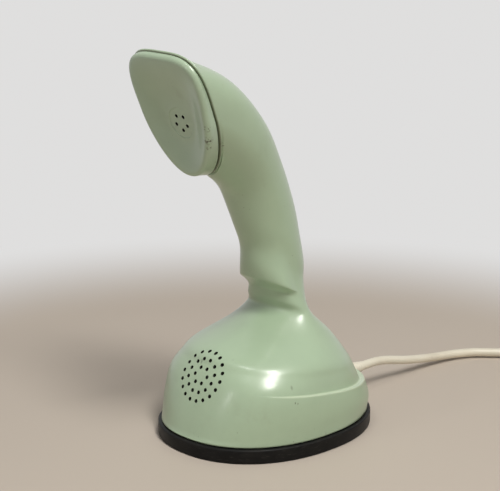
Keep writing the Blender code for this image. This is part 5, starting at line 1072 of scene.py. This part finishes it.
# the plunger's outline in millimetres; None is the top of the model's own plunger
plunger = {
    "profile": ((0, 0.3), (8.5, 0.3), (9.2, 1.0), (9.2, 4.9), (4.8, 4.9), (4.8, 29.8), (7.0, 29.8),
                (7.0, 31.2), (2.5, 31.2), (2.5, None), (0, None)),
    "rounding": 0.9 * mm, "sides": 72,
}


def holeAngle(k):
    return dial["stopAngle"] - dial["firstHole"] - k * dial["holeStep"]


def bevelled(obj, width, segments=3):
    change = obj.modifiers.new("edge", "BEVEL")
    change.width, change.segments, change.limit_method = width, segments, "ANGLE"
    change.angle_limit = math.radians(40)
    change.use_clamp_overlap = True
    smoothed(settle(obj).data, 32)
    return obj


def makeDial():
    d = dial
    holes = [circle(d["bore"], 64)]
    holes += [circle(d["holeRadius"], 48, polar(d["holeCircle"], holeAngle(k))) for k in range(d["holes"])]
    wheel = plateMesh(circle(d["wheelRadius"], 144), d["wheelBottom"], d["wheelTop"], holes)
    inner, bore = [circle(d["ringInner"], 72)], [circle(d["bore"], 72)]
    ring = plateMesh(circle(d["ringOuter"], 144), d["ringBottom"], d["ringTop"], inner)
    nut = plateMesh(circle(d["nutRadius"], d["nutFlats"]), d["nutBottom"], d["nutTop"], bore)
    wheel = bevelled(meshObject("fingerWheel", wheel), d["bevel"], 4)
    ring = bevelled(meshObject("numberRing", ring), d["edge"], 2)
    addPiece(wheel, "ivory_plastic", "dial_rotor", "finger_wheel")
    addPiece(ring, "ivory_plastic", "case", "number_ring")
    addPiece(bevelled(meshObject("wheelNut", nut), d["edge"]), "zinc_steel", "dial_rotor", "wheel_nut")


def makeStop():
    # A hook over the wheel, drawn from the side and turned to its place.
    d = dial
    low, thick, reach, half = d["nutBottom"], d["stopThick"], d["stopReach"], d["stopWidth"] / 2
    middle = (reach + d["stopStep"], low)
    hook = [middle, (d["stopOuter"], low), (d["stopOuter"], d["stopTop"]), (d["stopInner"], d["stopTop"]),
            (d["stopInner"], low + thick), (reach, low + thick), (reach, low), middle]
    turn = Matrix.Rotation(d["stopAngle"], 4, "Z") @ Matrix.Rotation(math.pi / 2, 4, "X")
    made = meshObject("fingerStop", plateMesh(rounded(hook, d["stopBend"])[:-1], -half, half), turn)
    addPiece(bevelled(made, d["stopEdge"]), "chrome", "case", "finger_stop")


def makeFigures():
    # Plain dial figures on the ring, each read through its finger hole.
    bm = bmesh.new()
    for k in range(dial["holes"]):
        text = bpy.data.curves.new("figure", "FONT")
        text.body = str((k + 1) % 10)
        text.size = dial["figureHeight"] * dial["figureSize"]
        text.align_x, text.align_y = "CENTER", "CENTER"
        text.extrude, text.offset = dial["figureDepth"], dial["figureBold"]
        obj = linked(bpy.data.objects.new("figure", text))
        mesh = bpy.data.meshes.new_from_object(obj)
        bpy.data.objects.remove(obj, do_unlink=True)
        x, y = polar(dial["holeCircle"], holeAngle(k))
        spot = Vector((x, y + midY, dial["ringBottom"] - dial["figureGap"]))
        mesh.transform(Matrix.Translation(spot) @ Matrix.Rotation(math.pi, 4, "Y"))
        bm.from_mesh(mesh)
    obj = bpy.data.objects.new("dialFigures", meshFrom("dialFigures", bm))
    addPiece(obj, numeralPaint, "case")


def makePlunger():
    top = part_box("hook_plunger")[1].z / mm
    points = [(r * mm, (top if z is None else z) * mm) for r, z in plunger["profile"]]
    made = turnedPiece("hookPlunger", rounded(points, plunger["rounding"]), plunger["sides"])
    addPiece(made, "black_plastic", "hook_plunger", "hook_plunger")


makeDial()
makeStop()
makeFigures()
makePlunger()
print("stage: dial")


# Screws: one slotted head, set on every spot by Geometry Nodes

screws = inMm(
    headRadius=2.2, headHeight=1.3, slotWidth=0.55, slotDepth=0.6, rounding=0.35, radius=1.1, chassisZ=5.7,
    chassisLength=10.6, dialLength=5.0, chassisX=33.0, chassisY=37.0, dialCircle=44.3,
) | {
    "dialAngles": (0.0, 115.0, 180.0),
}


def slottedScrew(name, length):
    s = screws
    head, height = s["headRadius"], s["headHeight"]
    profile = [(0, -height), (head * 0.55, -height), (head, -height * 0.45), (head, 0),
               (s["radius"], 0), (s["radius"], length), (0, length)]
    obj = plainObject(name, turnedMesh(rounded(profile, s["rounding"], 3), 24))
    bm = bmesh.new()
    size = Matrix.Diagonal((s["slotWidth"], head * 3, s["slotDepth"] * 2, 1))
    bmesh.ops.create_cube(bm, size=1.0, matrix=Matrix.Translation((0, 0, -height)) @ size)
    carve(obj, plainObject("slotTool", bm))
    bpy.context.scene.collection.objects.unlink(obj)
    return obj


def makeScrews(name, length, seed, spots, *replaced):
    spots = [(x, y, screws["chassisZ"]) for x, y in spots]
    made = laidOut(name + "s", copiesOnPoints, slottedScrew(name, length),
                   {"Turn": math.tau, "Seed": seed, "Finish": finishes["zinc_steel"]}, spots)
    addPiece(made, "zinc_steel", "case", *replaced)


makeScrews("chassisScrew", screws["chassisLength"], 3,
           [(sx * screws["chassisX"], sy * screws["chassisY"]) for sx in (-1, 1) for sy in (-1, 1)],
           "chassis_screw_front_left", "chassis_screw_front_right",
           "chassis_screw_rear_left", "chassis_screw_rear_right")
makeScrews("dialScrew", screws["dialLength"], 8,
           [polar(screws["dialCircle"], math.radians(degrees)) for degrees in screws["dialAngles"]],
           "dial_screw_1", "dial_screw_2", "dial_screw_3")
print("stage: screws")


# Strain relief with its ribs

relief = inMm(
    ribRadius=0.55, ribCircle=4.55, ribStart=4.6, length=12.5, outside=20.0, flangeRadius=6.8, flange=1.6,
    bodyRadius=4.5, shoulderRadius=5.0, tipRadius=3.1, mouthRadius=3.0, boreRadius=2.65, boreDepth=1.5,
    overTip=0.6, tipStart=1.0, rounding=0.5,
) | {
    "ribs": 7, "lastRib": 0.69,
}


def makeStrainRelief():
    r = relief
    back, tip = (corner.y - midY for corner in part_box("cord_strain_relief"))
    outer, end, floor = tip - r["outside"], tip + r["overTip"], tip - r["boreDepth"]
    wide, body, bore, flange = r["flangeRadius"], r["bodyRadius"], r["boreRadius"], r["flange"]
    profile = [(0, back), (wide, back), (wide, back + flange), (body, back + flange),
               (body, outer), (wide, outer), (wide, outer + flange),
               (r["shoulderRadius"], outer + 2 * flange), (r["tipRadius"], tip - r["tipStart"]),
               (r["mouthRadius"], end), (bore, end), (bore, floor), (0, floor)]
    frameBack = Matrix.Translation((0, 0, cord["exitZ"])) @ Matrix.Rotation(-math.pi / 2, 4, "X")
    made = turnedPiece("strainRelief", rounded(profile, r["rounding"]), 56, frameBack)
    ring = circle(r["ribRadius"], 10, (r["ribCircle"], 0))
    rings = [[(*polar(x, math.tau * k / 40), z) for x, z in ring] for k in range(40)]
    ribs = laidOut("reliefRibs", ribsOnLine, plainObject("rib", loopMesh(rings, closed=True)),
                   {"Count": r["ribs"], "Length": r["length"], "First Scale": 1.0, "Last Scale": r["lastRib"],
                    "Finish": finishes["cream_cord"]},
                   frame=frameBack @ Matrix.Translation((0, 0, outer + r["ribStart"])))
    joined = bmesh.new()
    joined.from_mesh(made.data)
    joined.from_mesh(ribs.data)
    bpy.data.objects.remove(ribs, do_unlink=True)
    joined.to_mesh(made.data)
    joined.free()
    addPiece(made, "cream_cord", "case", "cord_strain_relief")


makeStrainRelief()


# Tie and plug at the far end of the cord

tie = inMm(
    width=6.0, edge=0.15,
) | {
    "turn": math.radians(225.0),
}
plug = inMm(
    height=16.0, width=24.0, corner=5.0, neck=8.0, length=34.0, pinRadius=2.0, pinReach=13.0, pinRoot=2.0,
    pinSide=6.0, pinRounding=0.9,
) | {
    # how wide the body is along it, the second number in lengths of the neck
    "shape": ((0.30, 0.0), (0.35, 0.02), (0.37, 0.10), (0.40, 0.20), (0.47, 0.40), (0.60, 0.62), (0.76, 0.82),
              (0.90, 0.97), (0.965, 1.10), (0.99, 1.25), (1.0, 1.5), (1.0, 2.6), (1.0, 3.9), (0.985, 4.12),
              (0.95, 4.22), (0.90, 4.25)),
}


def makeTie():
    # A strap round the coil, its corners rounded over the turns.
    c = cord
    inner = c["innerRadius"] - c["drawIn"] - c["radius"] - c["gap"]
    outer = c["innerRadius"] + c["turnsInLayer"] * c["turnPitch"] + c["radius"] + c["gap"]
    layer = c["layerPitch"] + 2 * c["radius"] + 2 * c["gap"]
    middle = Vector((c["coilX"], c["coilY"], c["tableGap"] + c["tieThickness"] + layer / 2))
    turn = Matrix.Rotation(tie["turn"], 4, "Z")
    frameTie = Matrix.Translation(middle + turn @ Vector(((inner + outer) / 2, 0, 0))) @ turn
    inside = roundedBox(outer - inner, layer, c["radius"])
    outside = roundedBox(outer - inner, layer, c["radius"], c["tieThickness"])
    loops = [[(x, y * tie["width"] / 2, z) for x, z in loop]
             for loop, y in ((inside, -1), (outside, -1), (outside, 1), (inside, 1))]
    made = meshObject("cordTie", loopMesh(loops, closed=True), frameTie)
    addPiece(bevelled(made, tie["edge"], 2), "cream_cord", "case", "cord_tie")


def makePlug():
    c, p = cord, plug
    start = Matrix.Translation((-2 * c["radius"] - c["gap"], -c["tailRadius"], plugZ))
    axis = plugBend @ start @ Matrix.Rotation(-math.pi / 2, 4, "Y")
    outline = roundedBox(p["height"], p["width"], p["corner"])
    body = loopMesh([[(x * s, y * s, p["neck"] * t) for x, y in outline] for s, t in p["shape"]])
    addPiece(meshObject("plugBody", body, axis), "cream_cord", "case", "plug_body")
    low, high, wide = p["length"] - p["pinRoot"], p["length"] + p["pinReach"], p["pinRadius"]
    profile = rounded([(0, low), (wide, low), (wide, high), (0, high)], p["pinRounding"])
    for k, side in enumerate((-1, 1)):
        spot = axis @ Matrix.Translation((0, side * p["pinSide"], 0))
        pin = turnedPiece(f"plugPin{k + 1}", profile, 32, spot)
        addPiece(pin, "brass", "case", f"plug_pin_{k + 1}")


makeTie()
makePlug()
2 * cord["radius"]
print("stage: cord pieces")


# Finishes for the model's own pieces that stay

for name, obj in nodes.items():
    for socket in obj.material_slots:
        key = socket.material.name.split(".")[0] if socket.material else ""
        if key in finishes:
            socket.material = finishes[key]
        else:
            print("no finish for", name, key)


# Floor, backdrop and light

studio = {
    "floorColour": (0.55, 0.48, 0.41), "paleColour": (0.74, 0.735, 0.73), "paleFrom": 0.25, "paleTo": 0.46,
    "worldColour": (1.0, 0.99, 0.97), "worldStrength": 0.12, "patchColour": (0.50, 0.44, 0.38),
    "width": 4.0, "front": -2.5, "depth": 1.6, "bend": 0.6, "height": 2.4, "aimHeight": 0.1,
    # name, turn from the camera's side in degrees, height, distance, size, power, colour
    "lamps": (("keyLight", 25, 1.64, 1.0, (0.40, 0.85), 29, (1.0, 0.985, 0.95)),
              ("topLight", -44, 1.6, 0.55, (0.30, 0.22), 2.5, (1, 1, 1)),
              ("lowLight", -52, 0.55, 1.5, (0.14, 0.42), 1.5, (1, 1, 1))),
}


def seenRay(tree):
    # 1 for what the camera sees, straight or in a reflection, and 0 for light on the object.
    ray = tree.node("ShaderNodeLightPath", output="Is Camera Ray")
    for kind in ("Is Glossy Ray", "Is Transmission Ray"):
        ray = ray.maths("MAXIMUM", ray, tree.node("ShaderNodeLightPath", output=kind))
    return ray


def makeFloor():
    # Matt near the telephone; further off the camera and reflections see it as pale as a white wall.
    f = Finish("studioFloor")
    tint = f.mix(f.noise(6, 2.0, 0.5) * 0.1, studio["floorColour"], studio["patchColour"])
    matt = f.node("ShaderNodeBsdfPrincipled", {"Base Color": tint, "Roughness": 0.6})
    away = f.vectors("LENGTH", f.origin(), output="Value")
    share = away.fade(studio["paleFrom"], studio["paleTo"]) * seenRay(f)
    pale = f.node("ShaderNodeEmission", {"Color": solid(studio["paleColour"])})
    both = f.node("ShaderNodeMixShader", {0: share, 1: matt, 2: pale})
    f.node("ShaderNodeOutputMaterial", {"Surface": both}, output=None)
    ahead = Vector((-math.sin(camera["azimuth"]), math.cos(camera["azimuth"]), 0))
    side = Vector((ahead.y, -ahead.x, 0))
    depth, bend = studio["depth"], studio["bend"]
    line = [(studio["front"], 0.0)] + [(depth + bend * sine, bend * drop) for sine, drop in quarter(16)]
    line.append((depth + bend, studio["height"]))
    bm = bmesh.new()
    low, high = [[bm.verts.new(ahead * y + side * s + Vector((0, 0, z))) for y, z in line]
                 for s in (-studio["width"] / 2, studio["width"] / 2)]
    for i in range(len(line) - 1):
        bm.faces.new((low[i], high[i], high[i + 1], low[i + 1]))
    mesh = meshFrom("studioFloor", bm)
    mesh.shade_smooth()
    mesh.materials.append(f.material)
    floor = linked(bpy.data.objects.new("studioFloor", mesh))


def areaLight(name, turn, height, distance, size, power, colour):
    # Turn is counted from the camera's side, anticlockwise seen from above.
    data = bpy.data.lights.new(name, "AREA")
    data.shape, data.size, data.size_y = "RECTANGLE", size[0], size[1]
    data.energy, data.color = power, colour
    lamp = linked(bpy.data.objects.new(name, data))
    x, y = polar(distance, camera["azimuth"] - math.pi / 2 + math.radians(turn))
    lamp.location = (x, midY + y, height)
    aim = Vector((0, midY, studio["aimHeight"])) - Vector(lamp.location)
    lamp.rotation_euler = aim.to_track_quat("-Z", "Y").to_euler()


def makeWorld():
    world = bpy.data.worlds.new("studioWorld")
    world.use_nodes = True
    tree = Tree(world.node_tree)
    world.node_tree.nodes.clear()
    sky = tree.node("ShaderNodeBackground", {"Color": solid(studio["worldColour"]),
                                                   "Strength": studio["worldStrength"]})
    pale = tree.node("ShaderNodeBackground", {"Color": solid(studio["paleColour"])})
    sky = tree.node("ShaderNodeMixShader", {0: seenRay(tree), 1: sky, 2: pale})
    tree.node("ShaderNodeOutputWorld", {"Surface": sky}, output=None)
    bpy.context.scene.world = world


makeFloor()
makeWorld()
for lamp in studio["lamps"]:
    areaLight(*lamp)
bpy.context.scene.view_settings.view_transform = "Standard"
print("stage: studio")
